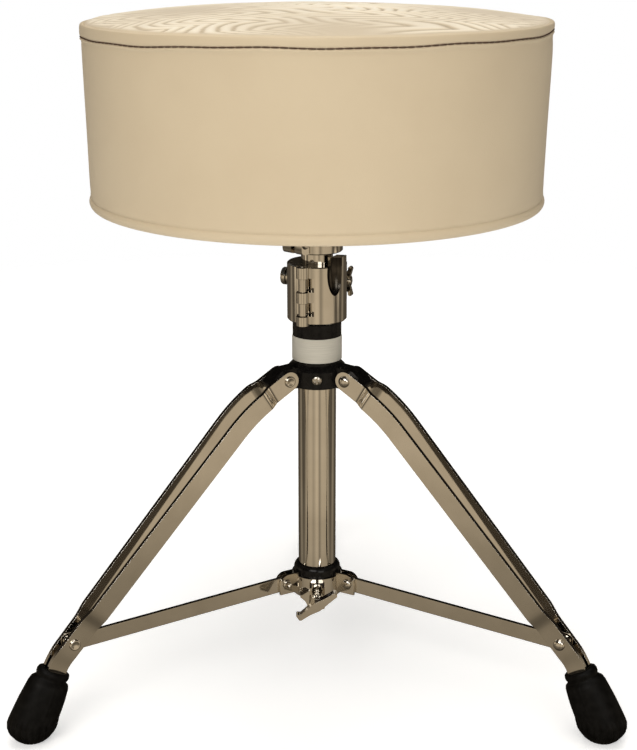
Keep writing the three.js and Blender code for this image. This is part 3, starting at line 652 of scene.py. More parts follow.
def make_hub_screw():
    screw = pan_screw(3.9, 2.2, 2, 4)
    slots = [box(-2.7, 2.7, -0.5, 0.5, -0.5, 1.3), box(-0.5, 0.5, -2.7, 2.7, -0.5, 1.3)]
    placed = moved(cut(screw, *slots), turn(-90, "X"), shift(0, -HUB_RADIUS - GAP - 2.2, HUB_SCREW_HEIGHT))
    piece("hub_cross_screw", placed, ZINC, "base", ["hub_screw"], 0.12)


def make_label():
    start, end = -90 - LABEL_HALF_WRAP, -90 + LABEL_HALF_WRAP
    outline = arc((0, 0), SLEEVE_RADIUS + 2 * GAP, start, end, 72)
    outline += arc((0, 0), SLEEVE_RADIUS + GAP, end, start, 72)
    label = prism(outline, LABEL_BOTTOM, LABEL_TOP)
    piece("blank_sleeve_label", label, FOIL, "base", ["sleeve_label"], 0.08)


# ------------------------------------------------------------------ height clamp


def clamp_frame(shape):
    return moved(shape, turn(CLAMP_TURN))


def clamp_body():
    wall = turned(
        [
            (CLAMP_RADIUS - 1.2, CLAMP_BOTTOM), (CLAMP_RADIUS, CLAMP_BOTTOM + 1.2),
            (CLAMP_RADIUS, CLAMP_TOP - 0.8), (CLAMP_RADIUS - 0.8, CLAMP_TOP),
        ]
    )
    barrel = moved(disc(CLAMP_HINGE_RADIUS, CLAMP_BOTTOM, CLAMP_TOP, 48), shift(*CLAMP_HINGE))
    y, z = CLAMP_BOLT
    ears = prism(rectangle(12, y + 7.5, z - 15, z + 12, 5), CLAMP_EARS["left"], CLAMP_EARS["right"], "x")
    head_boss = bar_along_x(y, z, 6.9, CLAMP_EARS["left"] - 4, CLAMP_EARS["left"] + 1)
    return fused(wall, barrel, ears, head_boss)


def clamp_boss():
    """The taller lug on the right of the clamp."""
    outline = arc((0, 0), CLAMP_RADIUS, -37, 8) + arc((0, 0), CLAMP_RADIUS - 8, 8, -37)
    return prism(outline, CLAMP_TOP - 10, CLAMP_TOP + 6.2)


def scoop_place():
    """Takes a ball of radius 1 to the thumb scoop beside the lug, stretched."""
    return turn(-33) @ shift(CLAMP_RADIUS + 2, 0, 346) @ Matrix.Diagonal((7, 8, 19, 1))


def clamp_scoop():
    rings = [circle(math.sin(a), math.cos(a), 40) for a in np.linspace(0.04, math.pi - 0.04, 21)]
    return moved(loft(rings), scoop_place())


def darken_scoop(casting):
    """Gives the faces on the scoop's ball the near-black chrome of painted shade."""
    casting.data.materials.append(SHADED_CHROME)
    to_ball = (turn(CLAMP_TURN) @ scoop_place()).inverted()
    for face in casting.data.polygons:
        reach = (to_ball @ ((face.center - COLUMN) / MM)).length
        face.material_index = 1 if abs(reach - 1) < 0.05 else 0


def clamp_bores():
    y, z = CLAMP_BOLT
    return [
        disc(POST_RADIUS + GAP, CLAMP_BOTTOM - 1, CLAMP_TOP + 8),
        disc(TUBE_RADIUS + GAP, CLAMP_BOTTOM - 1, TUBE_TOP + 2.4),
        bar_along_x(y, z, 3.8, -40, 40),
        moved(disc(2.1, CLAMP_BOTTOM - 1, CLAMP_TOP + 1, 32), shift(*CLAMP_HINGE)),
    ]


def clamp_side(side):
    """One side of the clamp's parting line, which runs from the slit at the back to the hinge."""
    slit, hinge, reach = CLAMP_EARS["slit"] + 0.6 * side, CLAMP_HINGE[0] + 0.4 * side, 60 * side
    plan = [(slit, 50), (slit, 3), (hinge, -9), (hinge, -50), (reach, -50), (reach, 50)]
    return prism(plan, CLAMP_BOTTOM - 2, CLAMP_TOP + 10)


def knuckle(index, radius, margin=0.0):
    bottom, top = CLAMP_KNUCKLES[index] - margin, CLAMP_KNUCKLES[index + 1] + margin
    return moved(disc(radius, bottom, top, 48), shift(*CLAMP_HINGE))


def make_clamp_halves():
    x, y = CLAMP_HINGE
    right = shared(cut(fused(clamp_body(), clamp_boss()), clamp_scoop()), clamp_side(1))
    windows = [
        box(x - 6, x + 9, y - 8, y + 5.7, CLAMP_KNUCKLES[i] - GAP, CLAMP_KNUCKLES[i + 1] + GAP)
        for i in (1, 3)
    ]
    nut_room = bar_along_x(*CLAMP_BOLT, WING_REACH + 0.7, CLAMP_EARS["right"], 40, 64)
    right = fused(right, *[knuckle(i, CLAMP_HINGE_RADIUS) for i in (0, 2, 4)])
    right = cut(right, *windows, nut_room, *clamp_bores())
    casting = piece("clamp_right_casting", clamp_frame(right), CHROME, "base", ["clamp_fixed_half"], 0.5, 3)
    # Paints shade into the thumb scoop's hollow with near-black chrome.
    darken_scoop(casting)

    left = shared(clamp_body(), clamp_side(-1))
    ends = {0: 1, 2: 0, 4: 1}
    left = cut(left, *[knuckle(i, CLAMP_HINGE_RADIUS + 0.4, margin) for i, margin in ends.items()])
    recesses = [box(x - 7, x + 1, y - 8, y + 1, CLAMP_KNUCKLES[i], CLAMP_KNUCKLES[i + 1]) for i in (1, 3)]
    left = fused(cut(left, *recesses), *[knuckle(i, CLAMP_HINGE_RADIUS - 1.7, -0.4) for i in (1, 3)])
    bolt_room = bar_along_x(*CLAMP_BOLT, 5, -40, CLAMP_EARS["slit"])
    left = cut(left, bolt_room, *clamp_bores())
    piece("clamp_left_casting", clamp_frame(left), CHROME, "clamp_gate", ["clamp_swing_half"], 0.5, 3)


def make_clamp_bolt():
    y, z = CLAMP_BOLT
    head = CLAMP_EARS["left"] - 4.3
    tip = CLAMP_EARS["right"] + 8.6
    crown = [(0.02, head - 5), (5.2, head - 5), (6.6, head - 4.5), (7.2, head - 3.4), (7.3, head - 0.9)]
    seat = [(6.9, head - 0.5), (4.4, head - 0.1), (3, head - 0.1)]
    profile = crown + seat + [(3, tip - 0.7), (2.4, tip), (0.02, tip)]
    bolt = moved(turned(profile, 64), turn(90, "Y"), shift(0, y, z))
    piece("clamp_bolt_turned", clamp_frame(bolt), CHROME, "clamp_bolt", ["clamp_draw_bolt"], 0.3)


def make_clamp_nut():
    y, z = CLAMP_BOLT
    seat = CLAMP_EARS["right"] + 1.6
    tip = WING_REACH - 1.8
    lower = [(seat + 0.6, -4)] + arc((seat + 6, -tip), 1.8, 153, 365) + [(seat + 6.2, -4.5)]
    upper = [(x, -height) for x, height in reversed(lower)]
    wings = prism(lower + upper, -1.9, 1.9, "y")
    hub = moved(turned([(5.4, seat), (5.4, seat + 2), (4.4, seat + 6.2)], 48), turn(90, "Y"))
    nut = cut(fused(hub, wings), bar_along_x(0, 0, 3.3, seat - 1, seat + 9))
    placed = clamp_frame(moved(nut, shift(0, y, z)))
    piece("clamp_wing_nut_cast", placed, CHROME, "clamp_nut", ["clamp_wing_nut"], 0.5, 3)


def make_clamp():
    make_clamp_halves()
    make_clamp_bolt()
    make_clamp_nut()
    kept("clamp_hinge_pin", ZINC)
    kept("clamp_washer", ZINC)


# ------------------------------------------------------------------ seat hardware


def make_seat_collar():
    tower = turned(
        [
            (COLLAR_RADIUS - 0.8, COLLAR_BOTTOM), (COLLAR_RADIUS, COLLAR_BOTTOM + 0.8),
            (COLLAR_RADIUS, 384), (COLLAR_RADIUS + 0.6, 386), (COLLAR_RADIUS + 2, 388),
            (COLLAR_RADIUS + 5, 390.6), (COLLAR_RADIUS + 9, 392.5), (COLLAR_RADIUS + 11, 394),
            (COLLAR_RADIUS + 11, COLLAR_TOP),
        ]
    )
    ears = prism(rectangle(14, 28, COLLAR_BOTTOM + 1, 381, 4), -11, 9.5, "y")
    tools = [
        box(8, 40, -1.9, 1.9, COLLAR_BOTTOM - 1, 382),
        bar_along_y(PINCH_OUT, PINCH_HEIGHT, 2.8, -20, 20),
        bar_along_y(PINCH_OUT, PINCH_HEIGHT, 4.6, 7, 20),
        disc(POST_RADIUS + GAP, COLLAR_BOTTOM - 1, POST_TOP + GAP),
    ]
    collar = moved(cut(fused(tower, ears), *tools), turn(PINCH_AZIMUTH))
    piece("seat_collar_casting", collar, CHROME, "seat", ["seat_collar"], 0.5, 3)


def make_pinch_bolt():
    shank = [(0.02, -14.5), (2.2, -14.5), (2.5, -14), (2.5, 7.3)]
    head = [(4.1, 7.3), (4.1, 10.2), (3.4, 11), (0.02, 11)]
    socket = disc(1.9, 7.8, 12, 6)
    bolt = cut(turned(shank + head, 48), socket)
    placed = moved(bolt, turn(-90, "X"), shift(PINCH_OUT, 0, PINCH_HEIGHT), turn(PINCH_AZIMUTH))
    piece("pinch_bolt_socket_head", placed, ZINC, "seat", ["pinch_bolt"], 0.15)


def make_seat_hardware():
    make_seat_collar()
    make_pinch_bolt()
    for name in ("pinch_nut", "plate_screw_1", "plate_screw_2", "plate_screw_3", "plate_screw_4"):
        kept(name, ZINC)
    kept("seat_plate", ZINC, 0.6)
    kept("dust_cloth", CLOTH, 0.2)
    kept("seat_board", PLYWOOD, 0.6)


# ------------------------------------------------------------------ cushion

CUSHION_SEGMENTS = 224
SIDE_SWELL = 1.7
TOP_SWELL = 3.6
VELVET_RELIEF = 2.0


def seam_wave(angle):
    """How far the sewn line strays above or below its mean height, round the cushion."""
    slow = 2.2 * np.cos(angle) + 0.7 * np.sin(3 * angle + 0.6)
    return slow + 0.5 * np.sin(7 * angle + 2.1) + 0.25 * np.sin(17 * angle)


def cushion_profile():
    """Rings of the cover as (radius, height, held), from the middle underneath to the middle on top."""
    under = [(radius, BOARD_TOP) for radius in (0.3, 60, 120, BOARD_RADIUS)]
    inner = [(BOARD_RADIUS, 407), (BOARD_RADIUS, 401.5), (BOARD_RADIUS + 0.6, 400.3)]
    lip = [(173.1, 400.1), (174.6, 401), (175.6, 402.8), (175.8, 404.6)]
    welt = [(175.2, 406.4), (174.1, WELT_HEIGHT), (174.7, 408.8)]
    heights = np.linspace(411.5, 526.5, 27)
    taper = [CUSHION_RADIUS - SIDE_SWELL + 0.3 - 2.3 * ((1 - (z - 408) / 122) ** 2.2) for z in heights]
    side = list(zip(taper, heights))
    edge = CUSHION_RADIUS - 0.3
    seam = [(edge, -1.9), (edge - 0.3, -0.9), (edge - 1.3, 0), (edge - 0.3, 0.9), (edge, 1.9)]
    seam = [(radius, SEAM_HEIGHT + offset) for radius, offset in seam]
    top = TOP_PANEL_HEIGHT
    band = [(edge, top - 4), (edge, top - 2.6), (edge - 0.2, top - 1.3)]
    groove = [(edge - 0.7, top - 0.2), (TOP_PANEL_RADIUS, top - 0.5), (TOP_PANEL_RADIUS - 1, top + 0.5)]
    rings = np.linspace(TOP_PANEL_RADIUS - 3.2, 0.6, 48)
    rise = CROWN_HEIGHT - TOP_SWELL - TOP_PANEL_HEIGHT
    crown = [(r, TOP_PANEL_HEIGHT + 0.4 + rise * (1 - (r / TOP_PANEL_RADIUS) ** 3)) for r in rings]
    sections = [(under + inner + lip + welt, True), (side, False), (seam, True), (band, False)]
    sections += [(groove, True), (crown, False)]
    return [(radius, height, held) for section, held in sections for radius, height in section]


def swollen(grid, held, frames=20):
    """Blows the cover up from inside as cloth, held at its seams, and keeps each point near its start."""
    cover = temporary(in_row_frame(loft(grid)))
    count = grid.shape[1]
    still = [number * count + k for number, fixed in enumerate(held) if fixed for k in range(count)]
    cover.vertex_groups.new(name="sewn").add(still, 1.0, "REPLACE")
    cloth = cover.modifiers.new("cover", "CLOTH")
    settings = cloth.settings
    settings.quality = 6
    settings.mass = 0.3
    settings.tension_stiffness = 20
    settings.compression_stiffness = 20
    settings.bending_stiffness = 1.5
    settings.use_pressure = True
    settings.uniform_pressure_force = 4
    settings.effector_weights.gravity = 0
    settings.vertex_group_mass = "sewn"
    cloth.point_cache.frame_start = 1
    cloth.point_cache.frame_end = frames
    for number in range(1, frames + 1):
        bpy.context.scene.frame_set(number)
    blown = cover.evaluated_get(bpy.context.evaluated_depsgraph_get())
    flat = np.empty(grid.size)
    blown.to_mesh().vertices.foreach_get("co", flat)
    blown.to_mesh_clear()
    bpy.data.meshes.remove(cover.data)
    bpy.context.scene.frame_set(1)
    step = (flat.reshape(grid.shape) - np.array(COLUMN)) / MM - grid
    reach = np.maximum(np.linalg.norm(step, axis=2, keepdims=True), 1e-6)
    on_top = grid[:, :, 2:] > TOP_PANEL_HEIGHT
    limit = np.where(on_top, TOP_SWELL, SIDE_SWELL)
    return grid + step * limit * np.tanh(reach / limit) / reach


def doubled(rows, closed):
    """Rows of points with a new row halfway between neighbours, on a smooth curve through them."""
    padded = [rows[-1:], rows, rows[:2]] if closed else [rows[:1], rows, rows[-1:]]
    padded = np.concatenate(padded)
    before, a, b, after = padded[:-3], padded[1:-2], padded[2:-1], padded[3:]

    def length(step):
        return np.linalg.norm(step, axis=2, keepdims=True) + 1e-9

    lead = (b - before) * length(b - a) / (length(b - a) + length(a - before))
    trail = (after - a) * length(b - a) / (length(b - a) + length(after - b))
    middle = (a + b) / 2 + (lead - trail) / 8
    rows_out = np.empty((len(rows) + len(middle), *rows.shape[1:]))
    rows_out[0::2] = rows
    rows_out[1::2] = middle
    return rows_out


def subdivided(grid):
    """The grid of rings with twice the rings and twice the points in each."""
    return doubled(doubled(grid, False).swapaxes(0, 1), True).swapaxes(0, 1)


def crushed(x, y):
    """The velvet's relief at a place on the top, 0 in a crease to 1 on a crest; the same map paints shade in
    the creases and sheen on the crests.
    """
    u = x + 9 * np.sin(y / 23 + 1.3) + 5 * np.sin((x + y) / 17)
    v = y + 7 * np.sin(x / 31) + 4 * np.sin((x - 2 * y) / 19 + 0.7)
    zigzag = 2 * np.abs((v / 52) % 1 - 0.5)
    phase = u / 17 + 1.9 * zigzag + 0.9 * np.sin(u / 41 + v / 29)
    crest = 1 - np.abs(np.sin(math.pi * phase)) ** 0.7
    patch = 0.5 + 0.5 * np.sin(u / 37 + 1) * np.sin(v / 43 + 2)
    return 0.5 + patch * (0.5 - crest)


def shaped(grid):
    """Gives the seam its wander, the side its slight unevenness and the velvet its crushed relief, and
    returns the relief as the map for the velvet's painted crest sheen and crease shade.
    """
    x, y, z = np.moveaxis(grid, 2, 0)
    angle = np.arctan2(y, x)
    radius = np.hypot(x, y)
    outside = radius > BOARD_RADIUS + 0.9
    near_seam = np.exp(-(((z - SEAM_HEIGHT) / 6.5) ** 2)) * np.clip((radius - 165) / 8, 0, 1)
    z = z + near_seam * seam_wave(angle)
    on_side = np.clip((z - 409) / 12, 0, 1) * np.clip((528 - z) / 12, 0, 1) * outside
    uneven = 0.35 * np.sin(5 * angle + z / 37) + 0.25 * np.sin(9 * angle - z / 23 + 1)
    on_top = np.clip((TOP_PANEL_RADIUS - 1.5 - radius) / 5, 0, 1) * (z > TOP_PANEL_HEIGHT - 1)
    relief = on_top * (crushed(x, y) - 0.5)
    scale = 1 + on_side * uneven / CUSHION_RADIUS
    # The second value is the relief map that the velvet paints as crest sheen and crease shade.
    return np.stack([x * scale, y * scale, z + VELVET_RELIEF * relief], axis=2), 0.5 + relief


def on_velvet(place):
    return math.hypot(place.x, place.y) < TOP_PANEL_RADIUS and place.z > TOP_PANEL_HEIGHT - 1


def make_cushion():
    profile = cushion_profile()
    grid = np.array([circle(radius, height, CUSHION_SEGMENTS) for radius, height, _ in profile])
    grid = swollen(grid, [held for _, _, held in profile])
    grid, crest_sheen_and_crease_shade = shaped(subdivided(grid))
    cover = piece("padded_round_cushion", loft(grid), VINYL, "seat", ["cushion"], bevel=0)
    cover.data.materials.append(VELVET)
    for face in cover.data.polygons:
        face.material_index = 1 if on_velvet((face.center - COLUMN) / MM) else 0
    # The velvet reads this map to paint sheen on the crests and shade in the creases.
    layer = cover.data.attributes.new("crest_sheen_and_crease_shade", "FLOAT", "POINT")
    layer.data.foreach_set("value", crest_sheen_and_crease_shade.ravel().astype(np.float32))


def stitch(angle, length, thick):
    """One stitch: a small capsule along the seam, dipping into the cover at both ends."""
    rings = []
    for share, size in [(-0.5, 0.35), (-0.42, 0.8), (-0.2, 1), (0, 1), (0.2, 1), (0.42, 0.8), (0.5, 0.35)]:
        here = angle + share * length / CUSHION_RADIUS
        out = CUSHION_RADIUS - 0.7 - 0.9 * (2 * share) ** 6
        height = SEAM_HEIGHT + seam_wave(here)
        section = [(out + x, height + y) for x, y, _ in circle(size * thick, 0, 8)]
        rings.append([(radius * math.cos(here), radius * math.sin(here), z) for radius, z in section])
    return loft(rings)


def make_stitches():
    count = round(TAU * CUSHION_RADIUS / STITCH_PITCH)
    points, faces = [], []
    for number in range(count):
        more, sides = stitch(TAU * number / count, 1.04 * STITCH_PITCH, 0.42)
        faces += [tuple(len(points) + i for i in side) for side in sides]
        points += more
    piece("seam_stitches", (points, faces), THREAD, "seat", bevel=0)


# ------------------------------------------------------------------ lower hub


def make_spider():
    wall = disc(SPIDER_RADIUS, SPIDER_BOTTOM, SPIDER_TOP)
    outline = [(20, 72.7), (37.5, 72.7)] + arc((29.5, 81.5), 8, 0, 90) + [(20, 89.5)]
    pin_hole = bar_along_y(*BRACE_PIN, PIN_SHANK + GAP, -10, 10)
    ears = []
    for azimuth in LEG_AZIMUTHS.values():
        for faces in (EAR_FACES, (-EAR_FACES[1], -EAR_FACES[0])):
            ears.append(moved(cut(prism(outline, *faces, "y"), pin_hole), turn(azimuth)))
    boss = prism(rectangle(-6.4, 6.4, 65.5, 84.5, 1.6), -34, -19, "y")
    web = prism(
        [(-14, 70.5), (-10.5, 67.5), (-8.6, 64.5), (-8, 62.5), (-4, 62.5), (-4, 76), (-14, 76)],
        -21.6, -15, "y",
    )
    tools = [
        box(-4.2, 4.2, -36, -27, 60, 90),
        disc(SPIDER_RADIUS - SPIDER_WALL, SPIDER_BOTTOM - 10, SPIDER_TOP + 6),
        disc(19.6, SPIDER_TOP - 0.05, SPIDER_TOP + 6),
        bar_along_y(0, WING_SCREW_HEIGHT, WING_SCREW_HOLE, -40, 0),
    ]
    spider = cut(fused(wall, boss, web, *ears), *tools)
    piece("spider_casting", spider, CHROME, "lower_hub", ["lower_hub_spider"], 0.4, 2)


def make_spider_bush():
    bore = TUBE_RADIUS + GAP
    sleeve = SPIDER_RADIUS - SPIDER_WALL - GAP
    bush = hollow(
        [
            (bore, SPIDER_BOTTOM + 2), (sleeve, SPIDER_BOTTOM + 2), (sleeve, SPIDER_TOP + GAP),
            (19.3, SPIDER_TOP + GAP), (19.3, 90.4), (19.1, 91.6), (18.6, 92.8), (18, 93.7), (17.2, 94.4),
            (bore + 0.4, 94.9), (bore, 94.5),
        ]
    )
    bush = cut(bush, bar_along_y(0, WING_SCREW_HEIGHT, WING_SCREW_HOLE, -40, 0))
    piece("spider_nylon_bush", bush, NYLON, "lower_hub", ["lower_hub_bush"], 0.25)


def make_wing_screw():
    tip = 18.9
    outline = rounded(
        [
            (-tip, -2.4), (-tip + 1.6, -3.2), (-9, -3.2), (0, -4.6), (9, -3.2), (tip, -2),
            (tip, 2), (9, 2.4), (0, 3.6), (-9, 2.4), (-tip + 3.2, 1.4), (-tip + 1, 3.4), (-tip, 2.6),
        ],
        1.2,
        3,
    )
    blade = moved(prism(outline, -49, -42, "y"), turn(-34, "Y"))
    profile = [(3, 15.9), (3, 33), (4.6, 34.4), (5.2, 37.4), (4.6, 40), (5.6, 42.4)]
    shank = moved(turned(profile, 48), turn(90, "X"))
    screw = moved(fused(blade, shank), shift(z=WING_SCREW_HEIGHT))
    piece("wing_screw_cast", screw, CHROME, "wing_screw", ["hub_wing_screw"], 0.6, 3)


def make_lower_hub():
    make_spider()
    make_spider_bush()
    make_wing_screw()
    for side, azimuth in LEG_AZIMUTHS.items():
        pin = moved(whole_rivet(BRACE_PIN, EAR_FACES[1] + GAP, PIN_SHANK, 4.1), turn(azimuth))
        piece(f"{side}_clevis_rivet", pin, CHROME, "lower_hub", [f"{side}_clevis_pin"], 0.15)


# ------------------------------------------------------------------ legs

SHOULDER_LENGTH = SHOULDER_RADIUS * math.radians(TAB_LEAN - MAIN_LEAN)
ANKLE_LENGTH = ANKLE_RADIUS * math.radians(MAIN_LEAN - FOOT_LEAN)
LEG_COURSE = [  # length, lean at its start, lean at its end
    (TAB_LENGTH, TAB_LEAN, TAB_LEAN),
    (SHOULDER_LENGTH, TAB_LEAN, MAIN_LEAN),
    (PIVOT_TO_RIVET + RIVET_TO_ANKLE - TAB_LENGTH - SHOULDER_LENGTH, MAIN_LEAN, MAIN_LEAN),
    (ANKLE_LENGTH, MAIN_LEAN, FOOT_LEAN),
    (60, FOOT_LEAN, FOOT_LEAN),
]
BAR_END = PIVOT_TO_RIVET + RIVET_TO_ANKLE + 12 + BAR_IN_FOOT
# How far the outer faces of a leg's two bars stand from its middle plane, as (distance, half width).
BAR_SPREAD = [
    (-BAR_WIDTH, 11), (16.7, 11), (25.3, 14), (PIVOT_TO_RIVET - 31, 10), (PIVOT_TO_RIVET - 15, 6.9),
    (PIVOT_TO_RIVET + 7, 6.5), (PIVOT_TO_RIVET + 20, 5.6), (PIVOT_TO_RIVET + 90, 5.6),
]


def leg_point(distance):
    """The radius, height and lean of a leg's middle line at a distance along it from the pivot."""
    radius, height = LEG_PIVOT
    left = distance
    for length, start, end in LEG_COURSE:
        step = min(left, length)
        lean = start + (end - start) * step / length
        mean = math.radians((start + lean) / 2)
        radius += step * math.sin(mean)
        height -= step * math.cos(mean)
        left -= step
        if left <= 0:
            break
    return radius, height, lean


LOWER_RIVET = leg_point(PIVOT_TO_RIVET)[:2]


def bar_spread(distance):
    for (start, a), (end, b) in zip(BAR_SPREAD, BAR_SPREAD[1:]):
        if distance <= end:
            share = (distance - start) / (end - start)
            eased = share * share * (3 - 2 * share) if end - start < 20 else share
            return a + (b - a) * eased
    return BAR_SPREAD[-1][1]


def leg_bar(side):
    """One flat bar of a leg, in the plane of azimuth 0; side is +1 or -1 across it."""
    half = BAR_WIDTH / 2
    round_end = [-half * math.sin(math.radians(angle)) for angle in range(84, 0, -12)]
    stations = round_end + list(np.linspace(0, BAR_END, 124))
    rings = []
    for distance in stations:
        radius, height, lean = leg_point(max(distance, 0))
        lean = math.radians(lean)
        if distance < 0:
            radius += distance * math.sin(lean)
            height -= distance * math.cos(lean)
        wide = math.sqrt(half**2 - distance**2) if distance < 0 else half
        outer = side * bar_spread(distance)
        inner = side * (bar_spread(distance) - BAR_THICKNESS)
        corners = [(wide, outer), (wide, inner), (-wide, inner), (-wide, outer)]
        rings.append([(radius + up * math.cos(lean), y, height + up * math.sin(lean)) for up, y in corners])
    pivot_hole = bar_along_y(*LEG_PIVOT, PIVOT_SHANK + GAP, -20, 20)
    rivet_hole = bar_along_y(*LOWER_RIVET, RIVET_SHANK + GAP, -20, 20)
    return cut(loft(rings), pivot_hole, rivet_hole)


def brace():
    """The flat strut from the lower hub's ear to the leg's lower rivet, in the plane of azimuth 0."""
    run, fall = LOWER_RIVET[0] - BRACE_PIN[0], LOWER_RIVET[1] - BRACE_PIN[1]
    length = math.hypot(run, fall)
    bar = prism(rectangle(-7, length + 7, -7.2, 5.4, 5), -BAR_THICKNESS / 2, BAR_THICKNESS / 2, "y")
    holes = {0: PIN_SHANK + GAP, length: RIVET_SHANK + GAP}
    bar = cut(bar, *[bar_along_y(x, 0, radius, -5, 5) for x, radius in holes.items()])
    slope = -math.degrees(math.atan2(fall, run))
    return moved(bar, turn(slope, "Y"), shift(BRACE_PIN[0], 0, BRACE_PIN[1]))


# Sections of a foot down its axis: share of its length, half width out from and across the leg, and tilt.
FOOT_SECTIONS = np.array(
    [
        [0.00, 11.6, 9.8, 1.0], [0.02, 12.9, 10.9, 1.0], [0.07, 13.5, 11.5, 1.0], [0.12, 13.3, 11.3, 1.0],
        [0.155, 12.5, 10.5, 1.0], [0.19, 13.4, 11.2, 0.95], [0.23, 15.4, 13.1, 0.9], [0.30, 16.4, 14.0, 0.8],
        [0.60, 18.2, 15.6, 0.5], [0.85, 19.5, 16.7, 0.2], [0.96, 20.3, 17.3, 0.05], [1.0, 20.5, 17.5, 0.0],
    ]
)
SOLE_SECTIONS = [(12.5, 0.975), (9.5, 0.915), (6.5, 0.82), (4.2, 0.73), (2.2, 0.62), (0.8, 0.53), (0, 0.44)]
SCALLOPS = 22
FOOT_SEGMENTS = SCALLOPS * 8


def foot_ring(centre, out, across_width, tilt, scallop, ridge=0.0):
    """An oval ring of a foot, with shallow scallops and a raised mould line front and back."""
    points = []
    for k in range(FOOT_SEGMENTS):
        angle = TAU * k / FOOT_SEGMENTS
        swell_here = 1 - scallop * (1 - abs(math.cos(SCALLOPS * angle / 2)))
        line = ridge * math.exp(-((math.cos(angle) / 0.06) ** 2))
        along = out * swell_here * math.cos(angle)
        y = (across_width * swell_here + line) * math.sin(angle)
        points.append((centre[0] + along * math.cos(tilt), y, centre[1] + along * math.sin(tilt)))
    return points


def rubber_foot():
    top = leg_point(PIVOT_TO_RIVET + RIVET_TO_ANKLE + 15)[:2]
    lean = math.radians(FOOT_LEAN)
    rings = []
    for share in np.unique(np.concatenate([FOOT_SECTIONS[:, 0], np.linspace(0.3, 0.96, 10)])):
        out, wide, tilt = (np.interp(share, FOOT_SECTIONS[:, 0], FOOT_SECTIONS[:, i]) for i in (1, 2, 3))
        centre = (
            top[0] + share * FOOT_LENGTH * math.sin(lean),
            top[1] - share * FOOT_LENGTH * math.cos(lean),
        )
        scallop = 0.05 * max(0, (share - 0.9) / 0.1)
        ridge = 0.35 if share > 0.2 else 0
        rings.append(foot_ring(centre, out, wide, tilt * lean, scallop, ridge))
    for height, share in SOLE_SECTIONS:
        scallop = 0.085 * min(1, height / 3)
        centre = (centre[0] + 0.8 if height == SOLE_SECTIONS[0][0] else centre[0], height)
        rings.append(foot_ring(centre, share * FOOT_RIM[0], share * FOOT_RIM[1], 0, scallop))
    reach = bar_spread(BAR_END) + GAP
    half = BAR_WIDTH / 2 + GAP
    pocket = box(-half, half, -reach, reach, -BAR_IN_FOOT - 4, 10)
    return cut(loft(rings), moved(pocket, turn(-FOOT_LEAN, "Y"), shift(top[0], 0, top[1])))


def make_legs():
    grip = bar_spread(PIVOT_TO_RIVET) + GAP
    clear = BAR_THICKNESS / 2 + GAP
    pivot = whole_rivet(LEG_PIVOT, BAR_SPREAD[0][1] + GAP, PIVOT_SHANK, RIVET_HEAD)
    domed = half_rivet(LOWER_RIVET, clear, RIVET_SHANK, dome(grip, RIVET_HEAD, -1), -1)
    rolled_over = half_rivet(LOWER_RIVET, clear, RIVET_SHANK, rolled(grip, RIVET_HEAD - 0.2, 1), 1)
    leg_parts = {
        "leg_head_bar": (leg_bar(-1), CHROME, 0.6),
        "leg_tail_bar": (leg_bar(1), CHROME, 0.6),
        "leg_pivot_rivet": (pivot, CHROME, 0),
        "leg_rivet_head": (domed, CHROME, 0),
        "leg_rivet_tail": (rolled_over, CHROME, 0),
        "foot": (rubber_foot(), RUBBER, 0),
    }
    strut = brace()
    for side, azimuth in LEG_AZIMUTHS.items():
        for part, (shape, material, bevel) in leg_parts.items():
            placed = moved(shape, turn(azimuth))
            piece(f"{side}_{part}_fine", placed, material, f"{side}_leg", [f"{side}_{part}"], bevel, 3)
        placed = moved(strut, turn(azimuth))
        piece(f"{side}_brace_strut", placed, CHROME, f"{side}_brace", [f"{side}_brace"], 0.6, 3)


# ------------------------------------------------------------------ studio


def greys(*stops):
    """Ramp stops from (position, grey) pairs."""
    return [(position, (grey, grey, grey)) for position, grey in stops]


# Colours of the reflected room by how far back (-1 front, 1 back), how high (-1 down, 1 up) and how far to
# the right (-1 left, 1 right) it lies. The narrow dark stripe is where a camera would stand.
FRONT_TO_BACK = [
    (-1.0, (0.56, 0.465, 0.335)),
    (-0.45, (0.47, 0.39, 0.28)),
    (-0.2, (0.33, 0.275, 0.20)),
    (0.42, (0.27, 0.225, 0.165)),
    (0.58, (0.085, 0.07, 0.052)),
    (1.0, (0.075, 0.062, 0.046)),
]
FLOOR_TO_CEILING = greys(
    (-1.0, 0.16), (-0.44, 0.50), (-0.37, 0.98), (0.06, 1.0), (0.24, 0.10), (0.62, 0.06), (0.75, 0.55),
    (1.0, 0.30),
)
LEFT_TO_RIGHT = greys(
    (-1.0, 1.0), (-0.975, 1.0), (-0.965, 0.13), (-0.93, 0.13), (-0.89, 0.42), (-0.55, 0.42),
    (-0.34, 0.30), (-0.04, 0.46), (0.10, 0.42), (0.24, 0.20), (0.44, 0.40), (0.89, 0.42), (0.93, 0.13),
    (0.965, 0.13), (0.975, 1.0), (1.0, 1.0),
)
ROOM_STRENGTH = 2.9
FILL_COLOR = (1, 0.985, 0.96, 1)
FILL_STRENGTH = 0.2
WHITE = (1, 1, 1, 1)
CAMERA_LENS = 71.4  # millimetres
CAMERA_FROM_COLUMN = (0.0012, -1.152, 0.608)  # metres
CAMERA_DIP = 16.93  # degrees below level


